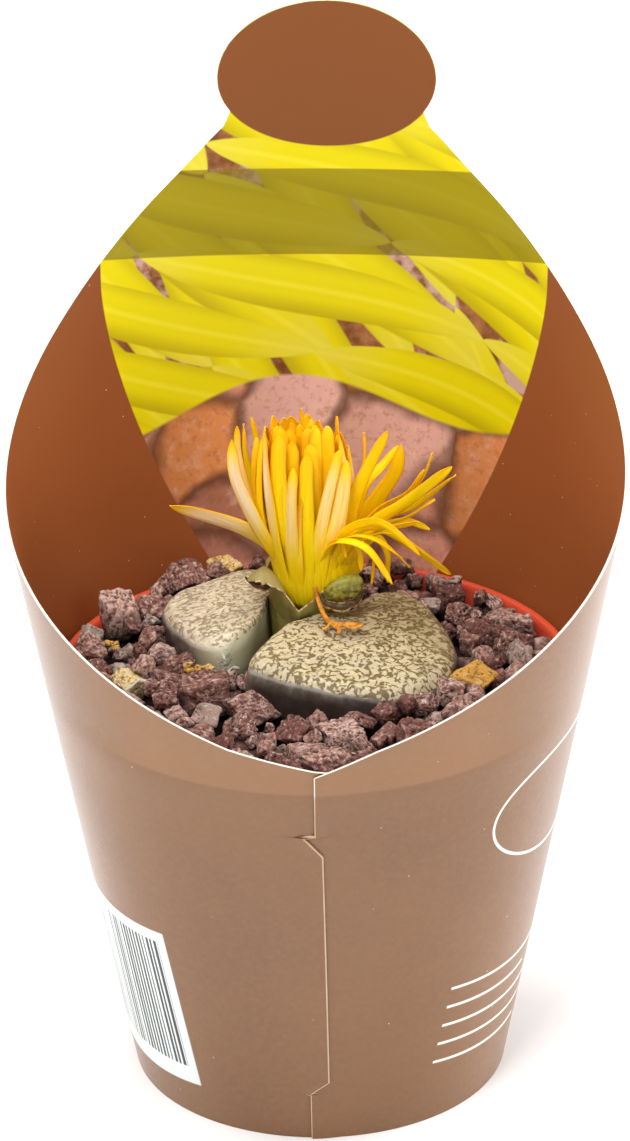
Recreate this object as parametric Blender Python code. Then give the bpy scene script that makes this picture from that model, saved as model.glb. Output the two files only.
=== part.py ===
"""Potted lithops in bloom: two stone-like leaves with one yellow flower, in a small red nursery pot
dressed with lava gravel, standing in a conical card display sleeve with a tall header.

Sizes below are in millimetres and become metres as each mesh is made. +Z is up. The origin is on
the pot's axis, on the plane that it stands on. The sleeve's lowest front edge faces -Y and its
header rises at +Y. Angles round the axis start at -Y and grow towards +X.
"""

import math

import bmesh
import bpy
from mathutils import Matrix, Vector, noise

MM = 0.001

# Card sleeve: a cone of card, cut to a low front and a tall back that ends in an oval tab. Its edge
# climbs through the shoulder's points of (height, angle) on each side.
CARD = 0.4
SLEEVE_BASE_RADIUS = 23.6
SLEEVE_FLARE = 0.187
TAB_CENTRE_HEIGHT = 115.3
TAB_HALF_WIDTH = 14.2
TAB_HALF_HEIGHT = 9.1
NECK_HEIGHT = 111.0
TAB_COLUMNS = 8
TAB_STEPS = 8
SHOULDER = [(55.4, 0.0), (65.2, 45.0), (77.1, 90.0), (89.3, 124.0), (102.5, 151.0), (109.3, 162.6)]
SHOULDER_STEPS = 5

# Nursery pot: (radius, height) round the wall, from the outer foot over the rim to the inner floor.
POT_WALL = [
    (20.9, 0.0), (21.4, 0.5), (30.0, 45.5), (31.2, 46.0), (32.3, 52.6), (32.0, 53.2),
    (31.4, 53.2), (31.0, 52.6), (30.2, 46.8), (29.1, 46.0), (20.4, 1.4), (19.9, 1.2),
]
POT_SEGMENTS = 40
DRAIN_RADIUS = 2.5
DRAIN_RING = 13.0
DRAIN_COUNT = 6

# Soil and the gravel on it.
SOIL_FOOT = (19.8, 1.6)
SOIL_TOP = (28.5, 46.0)
BED_FOOT = (28.4, 46.3)
BED_TOP = (30.0, 50.2)
BED_HEAP = 2.2

# Plant: both leaves taper down to one base; levels are (height, share of the full outline).
PLANT_CENTRE = Vector((-1.0, 3.5))
LEAF_LEVELS = [(33.6, 0.42), (38.0, 0.62), (42.0, 0.80), (46.0, 0.94), (50.0, 0.985)]
LEAF_CROWN = 59.0
LEAF_DROP = 1 / 167
LEAF_RIM = [(1.0, 1.7), (0.975, 0.55), (0.93, 0.1), (0.68, 0.0), (0.34, 0.0)]
RECESS_LEVELS = [(22.0, 46.0), (19.0, 42.0), (15.2, 38.0), (10.8, 34.0), (9.0, 33.0), (3.4, 18.6)]
BASE_LEVELS = [(2.6, 19.2), (4.6, 24.0), (6.9, 30.0), (8.0, 33.3)]
RIGHT_LEAF = [
    (-8.3, -7.4), (-5.4, -1.3), (-1.6, 3.3), (2.9, 7.6), (6.4, 11.9), (10.6, 14.2), (15.0, 10.3),
    (17.8, -0.5), (16.4, -10.2), (10.4, -15.0), (0.6, -12.8), (-5.6, -10.2),
]
LEFT_LEAF = [
    (-11.9, -3.6), (-8.3, 0.9), (-6.6, 5.6), (-6.1, 10.2), (-3.8, 13.4), (-0.4, 14.3), (2.4, 15.4),
    (1.2, 18.8), (-4.6, 21.4), (-10.4, 22.0), (-17.2, 18.0), (-19.9, 12.0), (-18.6, 5.0), (-15.2, -0.9),
]
LEAF_STEPS = 2

# Flower: a stalk in the fissure, the green calyx cup, its lobes, and petals round the stamens.
FLOWER_AXIS = Vector((-1.2, 8.7))
STALK_LEVELS = [(0.8, 34.2), (1.2, 42.0), (1.5, 50.1)]
CUP_LEVELS = [(2.6, 50.5), (3.2, 54.0), (3.35, 57.5), (4.2, 60.3), (3.9, 60.9)]
LOBES = {
    "sepal_left": ((-7.2, 7.6, 62.3), (2.5, 1.9, 0.8), (20, 25, 0)),
    "sepal_right": ((4.5, 6.1, 62.2), (2.2, 1.5, 1.3), (0, -20, 20)),
    "sepal_back_right": ((4.2, 12.2, 61.8), (1.8, 1.4, 0.8), (0, -25, 45)),
    "sepal_back": ((-0.9, 14.0, 62.2), (1.8, 1.5, 0.8), (30, 0, 0)),
    "sepal_back_left": ((-5.6, 12.4, 62.0), (1.8, 1.4, 0.8), (0, 25, -45)),
}
STAMEN_LEVELS = [(0.8, 61.4), (1.0, 68.0), (1.6, 70.4), (1.1, 72.6)]

# Petals that lean out: the points that each one's midline passes through, root first.
PETAL_WIDTH = 1.5
PETAL_THICKNESS = 0.34
LEANING_PETALS = [
    [(-4.4, 7.6, 61.3), (-6.0, 7.0, 64.4), (-8.0, 6.1, 68.0), (-11.0, 4.6, 70.8), (-17.8, 1.6, 74.4)],
    [(-3.6, 6.1, 61.3), (-5.4, 4.6, 66.0), (-7.6, 3.6, 71.4), (-9.8, 3.2, 77.6), (-10.2, 3.6, 82.4)],
    [(-4.5, 8.9, 61.3), (-6.6, 8.4, 67.0), (-8.6, 8.0, 73.0), (-9.7, 7.8, 78.4), (-9.8, 7.8, 82.4)],
    [(0.4, 5.6, 61.3), (1.9, 3.6, 67.0), (3.8, 2.2, 71.8), (7.8, 0.9, 73.8), (12.9, -0.9, 70.2)],
    [(-0.9, 5.2, 61.3), (0.4, 3.0, 66.4), (2.4, 0.9, 70.8), (6.6, -1.0, 71.2), (10.2, -2.2, 68.4)],
    [(1.5, 6.5, 61.3), (3.4, 4.8, 66.0), (5.4, 3.6, 69.4), (7.0, 3.0, 67.6), (6.9, 2.6, 63.6)],
    [(2.2, 7.7, 61.3), (3.6, 6.6, 67.2), (6.6, 5.4, 71.4), (11.0, 4.4, 73.4), (16.7, 4.4, 78.7)],
    [(2.4, 9.0, 61.3), (3.9, 8.6, 68.0), (6.2, 8.0, 72.6), (11.2, 7.4, 75.8), (14.3, 7.0, 80.2)],
    [(2.1, 10.3, 61.3), (4.2, 10.4, 65.6), (7.4, 10.4, 68.4), (11.6, 10.4, 69.2), (17.1, 10.0, 73.9)],
    [(1.4, 11.4, 61.3), (4.4, 12.8, 64.6), (7.6, 13.6, 65.4), (11.6, 13.9, 62.8), (16.4, 14.2, 59.6)],
    [(1.3, 9.2, 61.3), (3.0, 9.9, 69.0), (5.0, 10.4, 73.0), (7.6, 10.6, 76.4), (9.8, 10.6, 80.2)],
    [(0.7, 7.6, 61.3), (2.2, 6.8, 69.6), (4.2, 6.4, 74.6), (6.6, 6.2, 79.0), (8.6, 6.4, 82.2)],
]
# Upright petals: rings of (count, first angle, [(radius, height) of the midline], width).
UPRIGHT_RINGS = [
    (3, 150.0, 41.0, [(3.3, 61.3), (4.6, 66.0), (5.7, 72.0), (6.0, 78.0), (5.6, 82.6)], 1.9),
    (6, -172.0, 37.0, [(2.0, 61.3), (3.1, 66.0), (4.1, 72.0), (4.5, 78.0), (4.3, 83.0)], 1.7),
]
DRIED_PETAL = [(-2.4, 5.0, 61.5), (0.2, 3.2, 61.6), (0.9, 1.6, 60.4), (2.6, -1.4, 59.8), (5.6, -2.6, 59.8)]

# Stones that lie on the gravel: name, centre, (length, width, height), turn about Z in degrees.
STONES = [
    ("lava_stone_01", (-25.4, 10.8, 55.5), (5.0, 5.0, 6.2), 10),
    ("lava_stone_02", (-18.4, 22.6, 55.0), (6.2, 4.6, 4.2), -20),
    ("lava_stone_03", (-18.7, -3.8, 53.0), (5.6, 3.4, 2.8), -15),
    ("lava_stone_04", (-13.2, -7.6, 53.6), (6.6, 4.6, 5.6), -50),
    ("lava_stone_05", (-7.0, -12.2, 53.8), (6.2, 4.4, 5.2), -25),
    ("lava_stone_06", (-1.6, -17.2, 53.0), (5.0, 4.2, 3.6), 15),
    ("lava_stone_07", (4.1, -18.7, 53.2), (5.2, 4.0, 3.6), -5),
    ("lava_stone_08", (9.6, -18.8, 53.4), (4.6, 4.2, 4.2), 30),
    ("lava_stone_09", (15.7, -15.3, 53.5), (4.8, 3.6, 3.4), 20),
    ("lava_stone_10", (19.9, -10.2, 53.4), (3.6, 3.8, 4.2), 0),
    ("lava_stone_11", (25.0, -2.2, 53.2), (4.0, 3.8, 3.8), 40),
    ("lava_stone_12", (24.4, 7.8, 53.2), (5.4, 4.8, 4.6), 60),
    ("lava_stone_13", (19.2, 12.4, 53.0), (3.8, 3.0, 2.8), 10),
    ("lava_stone_14", (0.0, -22.6, 52.8), (4.4, 3.6, 3.4), -10),
    ("lava_stone_15", (6.2, -24.4, 52.4), (5.6, 3.2, 2.8), 12),
    ("ochre_stone_01", (-12.6, 27.0, 54.4), (4.0, 3.0, 2.8), 5),
    ("ochre_stone_02", (-23.4, -3.8, 53.0), (5.0, 3.4, 3.0), -70),
    ("ochre_stone_03", (21.6, -5.6, 54.0), (4.4, 3.8, 4.0), 25),
    ("pale_stone_01", (-12.6, -14.3, 53.2), (4.2, 3.8, 3.8), 35),
    ("pale_stone_02", (13.4, 18.2, 53.2), (3.4, 2.6, 1.8), 0),
]

COLOURS = {
    "card": ((0.34, 0.20, 0.12), 0.42),
    "pot_red": ((0.62, 0.10, 0.05), 0.38),
    "soil": ((0.045, 0.028, 0.018), 0.95),
    "lava": ((0.17, 0.09, 0.075), 0.92),
    "ochre": ((0.62, 0.36, 0.12), 0.88),
    "pale": ((0.52, 0.46, 0.40), 0.88),
    "leaf": ((0.42, 0.36, 0.22), 0.55),
    "root": ((0.30, 0.20, 0.11), 0.85),
    "calyx": ((0.17, 0.20, 0.06), 0.50),
    "petal": ((0.90, 0.55, 0.02), 0.45),
    "stamen": ((0.95, 0.75, 0.15), 0.60),
    "dried": ((0.72, 0.28, 0.03), 0.60),
}


def clear_scene():
    for old in list(bpy.data.objects):
        bpy.data.objects.remove(old, do_unlink=True)


def make_materials():
    materials = {}
    for name, (colour, roughness) in COLOURS.items():
        material = bpy.data.materials.new(name)
        material.use_nodes = True
        shader = material.node_tree.nodes["Principled BSDF"]
        shader.inputs["Base Color"].default_value = (*colour, 1.0)
        shader.inputs["Roughness"].default_value = roughness
        shader.inputs["Metallic"].default_value = 0.0
        materials[name] = material
    return materials


def make_object(name, mesh_builder, material, crease=40.0):
    """Turns a finished bmesh, in millimetres, into a smooth-shaded object in metres."""
    bmesh.ops.scale(mesh_builder, vec=(MM, MM, MM), verts=mesh_builder.verts)
    bmesh.ops.recalc_face_normals(mesh_builder, faces=mesh_builder.faces)
    mesh = bpy.data.meshes.new(name)
    mesh_builder.to_mesh(mesh)
    mesh_builder.free()
    mesh.shade_smooth()
    mesh.set_sharp_from_angle(angle=math.radians(crease))
    mesh.materials.append(material)
    made = bpy.data.objects.new(name, mesh)
    bpy.context.scene.collection.objects.link(made)
    return made


def spline(points, steps, closed=False):
    """A smooth curve through the points (Catmull-Rom), with so many steps from each to the next."""
    knots = [Vector(p) for p in points]
    count = len(knots)
    curve = []
    for i in range(count if closed else count - 1):
        if closed:
            a, b, c, d = (knots[(i + k) % count] for k in (-1, 0, 1, 2))
        else:
            b, c = knots[i], knots[i + 1]
            a = knots[i - 1] if i else b * 2 - c
            d = knots[i + 2] if i + 2 < count else c * 2 - b
        for step in range(steps):
            t = step / steps
            curve.append(
                (b * 2 + (c - a) * t + (a * 2 - b * 5 + c * 4 - d) * t**2 + (b * 3 - a - c * 3 + d) * t**3) / 2
            )
    return curve if closed else curve + [knots[-1]]


def polar(radius, degrees, centre=(0.0, 0.0)):
    """A plan point at an angle from -Y towards +X."""
    angle = math.radians(degrees)
    return Vector((centre[0] + radius * math.sin(angle), centre[1] - radius * math.cos(angle)))


def ring(radius, height, segments, centre=(0.0, 0.0)):
    return [(*polar(radius, 360 * i / segments, centre), height) for i in range(segments)]


def add_loft(builder, rings, looped=False):
    """Skins rings of points into one closed surface, capped at both ends or joined end to start."""
    rows = [[builder.verts.new(p) for p in points] for points in rings]
    size = len(rows[0])
    pairs = list(zip(rows, rows[1:] + rows[:1])) if looped else list(zip(rows, rows[1:]))
    for low, high in pairs:
        for i in range(size):
            j = (i + 1) % size
            builder.faces.new((low[i], low[j], high[j], high[i]))
    if not looped:
        for row in (rows[0], rows[-1]):
            middle = builder.verts.new(sum((v.co for v in row), Vector()) / size)
            for i in range(size):
                builder.faces.new((row[i], row[(i + 1) % size], middle))


def loft(name, rings, material, looped=False, crease=40.0):
    builder = bmesh.new()
    add_loft(builder, rings, looped)
    return make_object(name, builder, material, crease)


def sleeve_radius(height):
    return SLEEVE_BASE_RADIUS + SLEEVE_FLARE * height


def sleeve_point(degrees, height):
    return (*polar(sleeve_radius(height), degrees), height)


def tab_rows():
    """(height, angle at which the card's edge is) from the neck up to the top of the oval tab."""
    rows = []
    start = math.asin((NECK_HEIGHT - TAB_CENTRE_HEIGHT) / TAB_HALF_HEIGHT)
    for i in range(TAB_STEPS + 1):
        turn = start + (math.pi / 2 - start) * i / TAB_STEPS
        height = TAB_CENTRE_HEIGHT + TAB_HALF_HEIGHT * math.sin(turn)
        half_width = TAB_HALF_WIDTH * math.cos(turn)
        rows.append((height, 180 - math.degrees(half_width / sleeve_radius(height))))
    return rows


def make_sleeve(material):
    """Straight lines run up the cone to the card's edge; the tab is a fan of rows above the neck."""
    builder = bmesh.new()
    right = [(angle, height) for height, angle in spline(SHOULDER, SHOULDER_STEPS)]
    shoulder, root = right[-1]
    across = [(shoulder + (180 - shoulder) * 2 * i / TAB_COLUMNS, root) for i in range(1, TAB_COLUMNS)]
    left = [(360 - angle, height) for angle, height in reversed(right)]
    profile = right + across + left
    foot = [builder.verts.new(sleeve_point(angle, 0.0)) for angle, height in profile]
    head = [builder.verts.new(sleeve_point(angle, height)) for angle, height in profile]
    rows = [head[len(right) - 1:len(right) + TAB_COLUMNS]]
    for height, edge in tab_rows():
        angles = [edge + (180 - edge) * 2 * i / TAB_COLUMNS for i in range(TAB_COLUMNS + 1)]
        rows.append([builder.verts.new(sleeve_point(angle, height)) for angle in angles])
    for low, high in [(foot, head)] + list(zip(rows, rows[1:])):
        for i in range(len(low) - 1):
            builder.faces.new((low[i], low[i + 1], high[i + 1], high[i]))
    bmesh.ops.remove_doubles(builder, verts=builder.verts, dist=0.001)
    sleeve = make_object("display_sleeve", builder, material)
    wall = sleeve.modifiers.new("card", "SOLIDIFY")
    wall.thickness = CARD * MM
    wall.offset = -1
    return sleeve


def make_pot(material):
    pot = loft("nursery_pot", [ring(r, z, POT_SEGMENTS) for r, z in POT_WALL], material)
    builder = bmesh.new()
    for i in range(DRAIN_COUNT):
        centre = polar(DRAIN_RING, 360 * (i + 0.5) / DRAIN_COUNT)
        add_loft(builder, [ring(DRAIN_RADIUS, z, 10, centre) for z in (-2.0, 3.0)])
    cutter = make_object("drain_cutter", builder, material)
    cutter.hide_render = True
    cutter.display_type = "WIRE"
    cut = pot.modifiers.new("drains", "BOOLEAN")
    cut.operation = "DIFFERENCE"
    cut.solver = "EXACT"
    cut.object = cutter
    return pot


def make_soil(material):
    rings = [ring(*SOIL_FOOT, 32), ring(*SOIL_TOP, 32)]
    rings += [ring(r, z, 32, PLANT_CENTRE) for r, z in RECESS_LEVELS]
    return loft("potting_soil", rings, material)


def collar_radius(degrees, outlines):
    """How far the leaves reach from the plant's centre near an angle, plus room for the gravel."""
    direction = polar(1.0, degrees)
    near = [p.to_2d() - PLANT_CENTRE for outline in outlines for p in outline]
    reach = [offset.length for offset in near if offset.angle(direction) < math.radians(16)]
    return max(reach) + 0.9


def make_gravel_bed(material, outlines):
    segments = 36
    turns = [360 * i / segments for i in range(segments)]
    inner = [polar(collar_radius(a, outlines), a, PLANT_CENTRE) for a in turns]

    def bed_ring(share, outer_radius, height, bump):
        points = []
        for start, turn in zip(inner, turns):
            flat = start.lerp(polar(outer_radius, turn), share)
            heap = BED_HEAP * max(0.0, (flat.y - flat.x) / 45) if bump else 0.0
            ripple = bump * noise.noise(Vector((flat.x, flat.y, 0)) * 0.45)
            points.append((*flat, height + heap + ripple))
        return points

    top_radius, top = BED_TOP
    rings = [bed_ring(0.0, BED_FOOT[0], BED_FOOT[1], 0.0), bed_ring(1.0, BED_FOOT[0], BED_FOOT[1], 0.0)]
    rings += [bed_ring(share, top_radius, top, 0.8) for share in (1.0, 0.66, 0.33, 0.0)]
    return loft("gravel_bed", rings, material, looped=True)


def leaf_top(point):
    return LEAF_CROWN - LEAF_DROP * (point - PLANT_CENTRE).length_squared


def make_leaf(name, outline, material):
    """A leaf from its plan outline: tapered below, rounded at the rim and domed on top."""
    middle = sum((p.to_2d() for p in outline), Vector((0.0, 0.0))) / len(outline)
    rings = []
    for height, share in LEAF_LEVELS:
        rings.append([(*PLANT_CENTRE.lerp(p.to_2d(), share), height) for p in outline])
    for share, drop in LEAF_RIM:
        inset = [middle.lerp(p.to_2d(), share) for p in outline]
        rings.append([(*p, leaf_top(p) - drop) for p in inset])
    return loft(name, rings, material, crease=60.0)


def make_stalk(material):
    """The stalk follows the leaves' taper down to the plant's base."""
    share_at = dict((height, share) for height, share in LEAF_LEVELS)
    shares = [share_at[33.6], share_at[42.0], share_at[50.0]]
    rings = []
    for (radius, height), share in zip(STALK_LEVELS, shares):
        rings.append(ring(radius, height, 10, PLANT_CENTRE.lerp(FLOWER_AXIS, share)))
    return loft("flower_stalk", rings, material)


def make_lump(name, centre, size, turn, material, roughness, detail=2):
    """A closed lump: a sphere of triangles, roughened, stretched to its size, turned and placed."""
    builder = bmesh.new()
    bmesh.ops.create_icosphere(builder, subdivisions=detail, radius=0.5)
    seed = Vector(centre)
    for vert in builder.verts:
        vert.co *= 1 + roughness * noise.noise(vert.co * 3.1 + seed)
    widest = [max(abs(v.co[axis]) for v in builder.verts) for axis in range(3)]
    stretch = [size[axis] / (2 * widest[axis]) for axis in range(3)]
    bmesh.ops.scale(builder, vec=stretch, verts=builder.verts)
    spin = Matrix.Rotation(math.radians(turn[2]), 4, "Z")
    spin @= Matrix.Rotation(math.radians(turn[1]), 4, "Y") @ Matrix.Rotation(math.radians(turn[0]), 4, "X")
    bmesh.ops.transform(builder, matrix=Matrix.Translation(centre) @ spin, verts=builder.verts)
    return make_object(name, builder, material, crease=60.0)


def strip_rings(midline, width, thickness, outward):
    """Lens-shaped cross-sections along a midline, carried along it without twisting."""
    rings = []
    facing = Vector(outward)
    last = len(midline) - 1
    for i, point in enumerate(midline):
        along = (midline[min(i + 1, last)] - midline[max(i - 1, 0)]).normalized()
        facing = (facing - along * facing.dot(along)).normalized()
        across = along.cross(facing)
        t = i / last
        half = width / 2 * (0.45 + 0.55 * math.sin(math.pi * min(1.0, 0.15 + 0.85 * t) ** 1.3)) * (1 - 0.6 * t**6)
        bulge = thickness / 2
        rings.append([point + across * half, point + facing * bulge, point - across * half, point - facing * bulge])
    return rings


def make_petal(name, points, width, material, steps=3):
    midline = spline(points, steps)
    outward = midline[0].to_2d() - FLOWER_AXIS
    rings = strip_rings(midline, width, PETAL_THICKNESS, (*outward, 0.3))
    return loft(name, rings, material, crease=60.0)


def upright_petals():
    """Midline points and widths of the petals that stand upright, ring by ring."""
    petals = []
    for count, first, pitch, profile, width in UPRIGHT_RINGS:
        for i in range(count):
            turn = first + pitch * i
            petals.append(([(*polar(r, turn, FLOWER_AXIS), z) for r, z in profile], width))
    return petals


def make_flower(materials):
    make_stalk(materials["calyx"])
    loft("calyx_cup", [ring(r, z, 14, FLOWER_AXIS) for r, z in CUP_LEVELS], materials["calyx"])
    for name, (centre, size, turn) in LOBES.items():
        make_lump(name, centre, [2 * s for s in size], turn, materials["calyx"], 0.1)
    petals = [(points, PETAL_WIDTH) for points in LEANING_PETALS] + upright_petals()
    for number, (points, width) in enumerate(petals, 1):
        make_petal(f"petal_{number:02d}", points, width, materials["petal"])
    dried = spline(DRIED_PETAL, 3)
    loft("dried_petal", strip_rings(dried, 0.7, 0.3, (0, 0, 1)), materials["dried"])
    loft("stamen_tuft", [ring(r, z, 12, FLOWER_AXIS) for r, z in STAMEN_LEVELS], materials["stamen"])


def make_plant(materials):
    left, right = spline(LEFT_LEAF, LEAF_STEPS, closed=True), spline(RIGHT_LEAF, LEAF_STEPS, closed=True)
    make_leaf("left_leaf", left, materials["leaf"])
    make_leaf("right_leaf", right, materials["leaf"])
    loft("plant_base", [ring(r, z, 16, PLANT_CENTRE) for r, z in BASE_LEVELS], materials["root"])
    return left, right


def main():
    clear_scene()
    materials = make_materials()
    make_sleeve(materials["card"])
    make_pot(materials["pot_red"])
    make_soil(materials["soil"])
    outlines = make_plant(materials)
    make_gravel_bed(materials["lava"], outlines)
    make_flower(materials)
    for name, centre, size, turn in STONES:
        make_lump(name, centre, size, (0, 0, turn), materials[name.split("_")[0]], 0.35)


main()
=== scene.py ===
"""The looks of a potted lithops in flower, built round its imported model.

Shapes are worked out in millimetres, in the model's own frame (+Z up, the sleeve's low front at
-Y), and become metres as each mesh is made. Angles round the pot's axis start at -Y and grow
towards +X.
"""

import math
import random

import bmesh
import bpy
import numpy as np
from mathutils import Matrix, Vector, noise


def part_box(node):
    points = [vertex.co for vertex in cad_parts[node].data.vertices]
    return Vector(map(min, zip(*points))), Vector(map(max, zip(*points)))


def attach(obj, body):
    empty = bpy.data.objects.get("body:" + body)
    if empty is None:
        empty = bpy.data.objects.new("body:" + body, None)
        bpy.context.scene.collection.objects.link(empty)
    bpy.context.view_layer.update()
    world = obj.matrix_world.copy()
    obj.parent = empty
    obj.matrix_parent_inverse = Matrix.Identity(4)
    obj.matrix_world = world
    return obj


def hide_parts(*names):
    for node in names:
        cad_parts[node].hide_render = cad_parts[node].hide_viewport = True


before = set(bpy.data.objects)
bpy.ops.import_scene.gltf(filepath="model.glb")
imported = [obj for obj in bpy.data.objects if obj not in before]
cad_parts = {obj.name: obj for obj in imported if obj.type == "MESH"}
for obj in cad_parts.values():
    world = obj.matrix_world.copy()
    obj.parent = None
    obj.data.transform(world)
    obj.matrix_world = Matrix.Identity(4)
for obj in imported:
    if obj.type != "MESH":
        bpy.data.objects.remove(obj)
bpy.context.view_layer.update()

MM = 0.001
BODY = "root"


# ---------------------------------------------------------------- places taken from the frame

def node_box(node):
    """A CAD node's lowest and highest corners in millimetres."""
    low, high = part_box(node)
    return low / MM, high / MM


SLEEVE_HEIGHT = node_box("display_sleeve")[1].z
POT_HIGH = node_box("nursery_pot")[1]
RIM_RADIUS, RIM_HEIGHT = POT_HIGH.x, POT_HIGH.z
BED_FOOT = node_box("gravel_bed")[0].z
CUP_LOW, CUP_HIGH = node_box("calyx_cup")
CUP_TOP = CUP_HIGH.z
FLOWER = Vector(((CUP_LOW.x + CUP_HIGH.x) / 2, (CUP_LOW.y + CUP_HIGH.y) / 2))


# ---------------------------------------------------------------- curves and meshes

def spline(points, steps, closed=False):
    """A smooth curve through the points (Catmull-Rom), with so many steps from each to the next."""
    knots = [Vector(p) for p in points]
    count = len(knots)
    curve = []
    for i in range(count if closed else count - 1):
        if closed:
            a, b, c, d = (knots[(i + k) % count] for k in (-1, 0, 1, 2))
        else:
            b, c = knots[i], knots[i + 1]
            a = knots[i - 1] if i else b * 2 - c
            d = knots[i + 2] if i + 2 < count else c * 2 - b
        for step in range(steps):
            t = step / steps
            bend = a * 2 - b * 5 + c * 4 - d
            twist = b * 3 - a - c * 3 + d
            curve.append((b * 2 + (c - a) * t + bend * t**2 + twist * t**3) / 2)
    return curve if closed else curve + [knots[-1]]


def polar(radius, degrees, centre=(0.0, 0.0)):
    """A plan point at an angle from -Y towards +X."""
    angle = math.radians(degrees)
    return Vector((centre[0] + radius * math.sin(angle), centre[1] - radius * math.cos(angle)))


def ring(radius, height, segments, centre=(0.0, 0.0)):
    """Points round a level circle."""
    return [(*polar(radius, 360 * i / segments, centre), height) for i in range(segments)]


def smooth_step(low, high, value):
    """0 below low, 1 above high, smooth between them."""
    t = min(1.0, max(0.0, (value - low) / (high - low)))
    return t * t * (3 - 2 * t)


def bell(value, middle, width):
    """1 at the middle, falling off smoothly to both sides."""
    return math.exp(-((value - middle) / width) ** 2)


def put_in_scene(name, data):
    """A new object that shows a mesh, a light or a camera."""
    made = bpy.data.objects.new(name, data)
    bpy.context.scene.collection.objects.link(made)
    return made


def make_piece(name, points, faces, finishes, replaces=(), painted=None, face_finish=None):
    """A smooth-shaded piece from points in millimetres, riding on the body. painted holds numbers
    for each point that its finish reads by name; face_finish says which finish each face has."""
    mesh = bpy.data.meshes.new(name)
    mesh.from_pydata([[c * MM for c in p] for p in points], [], faces)
    for label, values in (painted or {}).items():
        mesh.attributes.new(label, "FLOAT", "POINT").data.foreach_set("value", list(values))
    mesh.shade_smooth()
    for finish in finishes:
        mesh.materials.append(finish)
    if face_finish:
        mesh.polygons.foreach_set("material_index", face_finish)
    piece = put_in_scene(name, mesh)
    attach(piece, BODY)
    if replaces:
        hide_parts(*replaces)
    return piece


def grid_faces(rows, columns, wrap=False):
    """Quads of a grid whose points run along each row in turn."""
    faces = []
    for first in range(0, (rows - 1) * columns, columns):
        for c in range(columns if wrap else columns - 1):
            here, beside = first + c, first + (c + 1) % columns
            faces.append((here, beside, beside + columns, here + columns))
    return faces


def gather(points, faces, more_points, more_faces):
    """Adds one shape's points and faces to those of a piece made of several."""
    base = len(points)
    points += more_points
    faces += [tuple(base + i for i in face) for face in more_faces]


def loft(rings):
    """Points and faces of a closed skin over rings of points, capped at both ends."""
    size = len(rings[0])
    points = [Vector(p) for row in rings for p in row]
    faces = grid_faces(len(rings), size, wrap=True)
    for first, order in ((0, -1), ((len(rings) - 1) * size, 1)):
        middle = sum(points[first:first + size], Vector()) / size
        hub = len(points)
        points.append(middle)
        for i in range(size):
            edge = (first + i, first + (i + 1) % size)[::order]
            faces.append((*edge, hub))
    return points, faces


def thicken(piece, thickness, offset=0.0):
    """Gives a sheet its thickness: half of it to each side, or all of it behind where offset is -1."""
    wall = piece.modifiers.new("thickness", "SOLIDIFY")
    wall.thickness = thickness * MM
    wall.offset = offset
    return wall


def bake_modifiers(piece, crease=None):
    """Replaces a piece's mesh by what its modifiers make of it, with edges sharp above crease degrees."""
    bpy.context.view_layer.update()
    graph = bpy.context.evaluated_depsgraph_get()
    made = bpy.data.meshes.new_from_object(piece.evaluated_get(graph))
    piece.modifiers.clear()
    piece.data = made
    if crease:
        made.set_sharp_from_angle(angle=math.radians(crease))


# ---------------------------------------------------------------- finishes

class Value:
    """A socket that does arithmetic: each operation on it adds a Math node to its finish."""

    def __init__(self, finish, socket):
        self.finish = finish
        self.socket = socket

    def math(self, operation, *others, first=None):
        """A Math node on this value and the others, or with another value in the first place."""
        inputs = [self if first is None else first, *others]
        return self.finish.node("Math", {"operation": operation}, dict(enumerate(inputs)))

    def __add__(self, other):
        return self.math("ADD", other)

    def __radd__(self, other):
        return self.math("ADD", other)

    def __sub__(self, other):
        return self.math("SUBTRACT", other)

    def __rsub__(self, other):
        return self.math("SUBTRACT", self, first=other)

    def __mul__(self, other):
        return self.math("MULTIPLY", other)

    def __rmul__(self, other):
        return self.math("MULTIPLY", other)

    def __truediv__(self, other):
        return self.math("DIVIDE", other)

    def __rtruediv__(self, other):
        return self.math("DIVIDE", self, first=other)

    def __pow__(self, other):
        return self.math("POWER", other)

    def __abs__(self):
        return self.math("ABSOLUTE")

    def sine(self):
        return self.math("SINE")

    def cosine(self):
        return self.math("COSINE")

    def whole(self):
        return self.math("FLOOR")

    def fraction(self):
        return self - self.whole()

    def least(self, other):
        return self.math("MINIMUM", other)

    def most(self, other):
        return self.math("MAXIMUM", other)

    def ramp(self, low, high):
        """0 below low, 1 above high, smooth between them; it falls where high is below low."""
        settings = {"interpolation_type": "SMOOTHSTEP"}
        return self.finish.node("MapRange", settings, {0: self, 1: low, 2: high, 3: 0.0, 4: 1.0})


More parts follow.
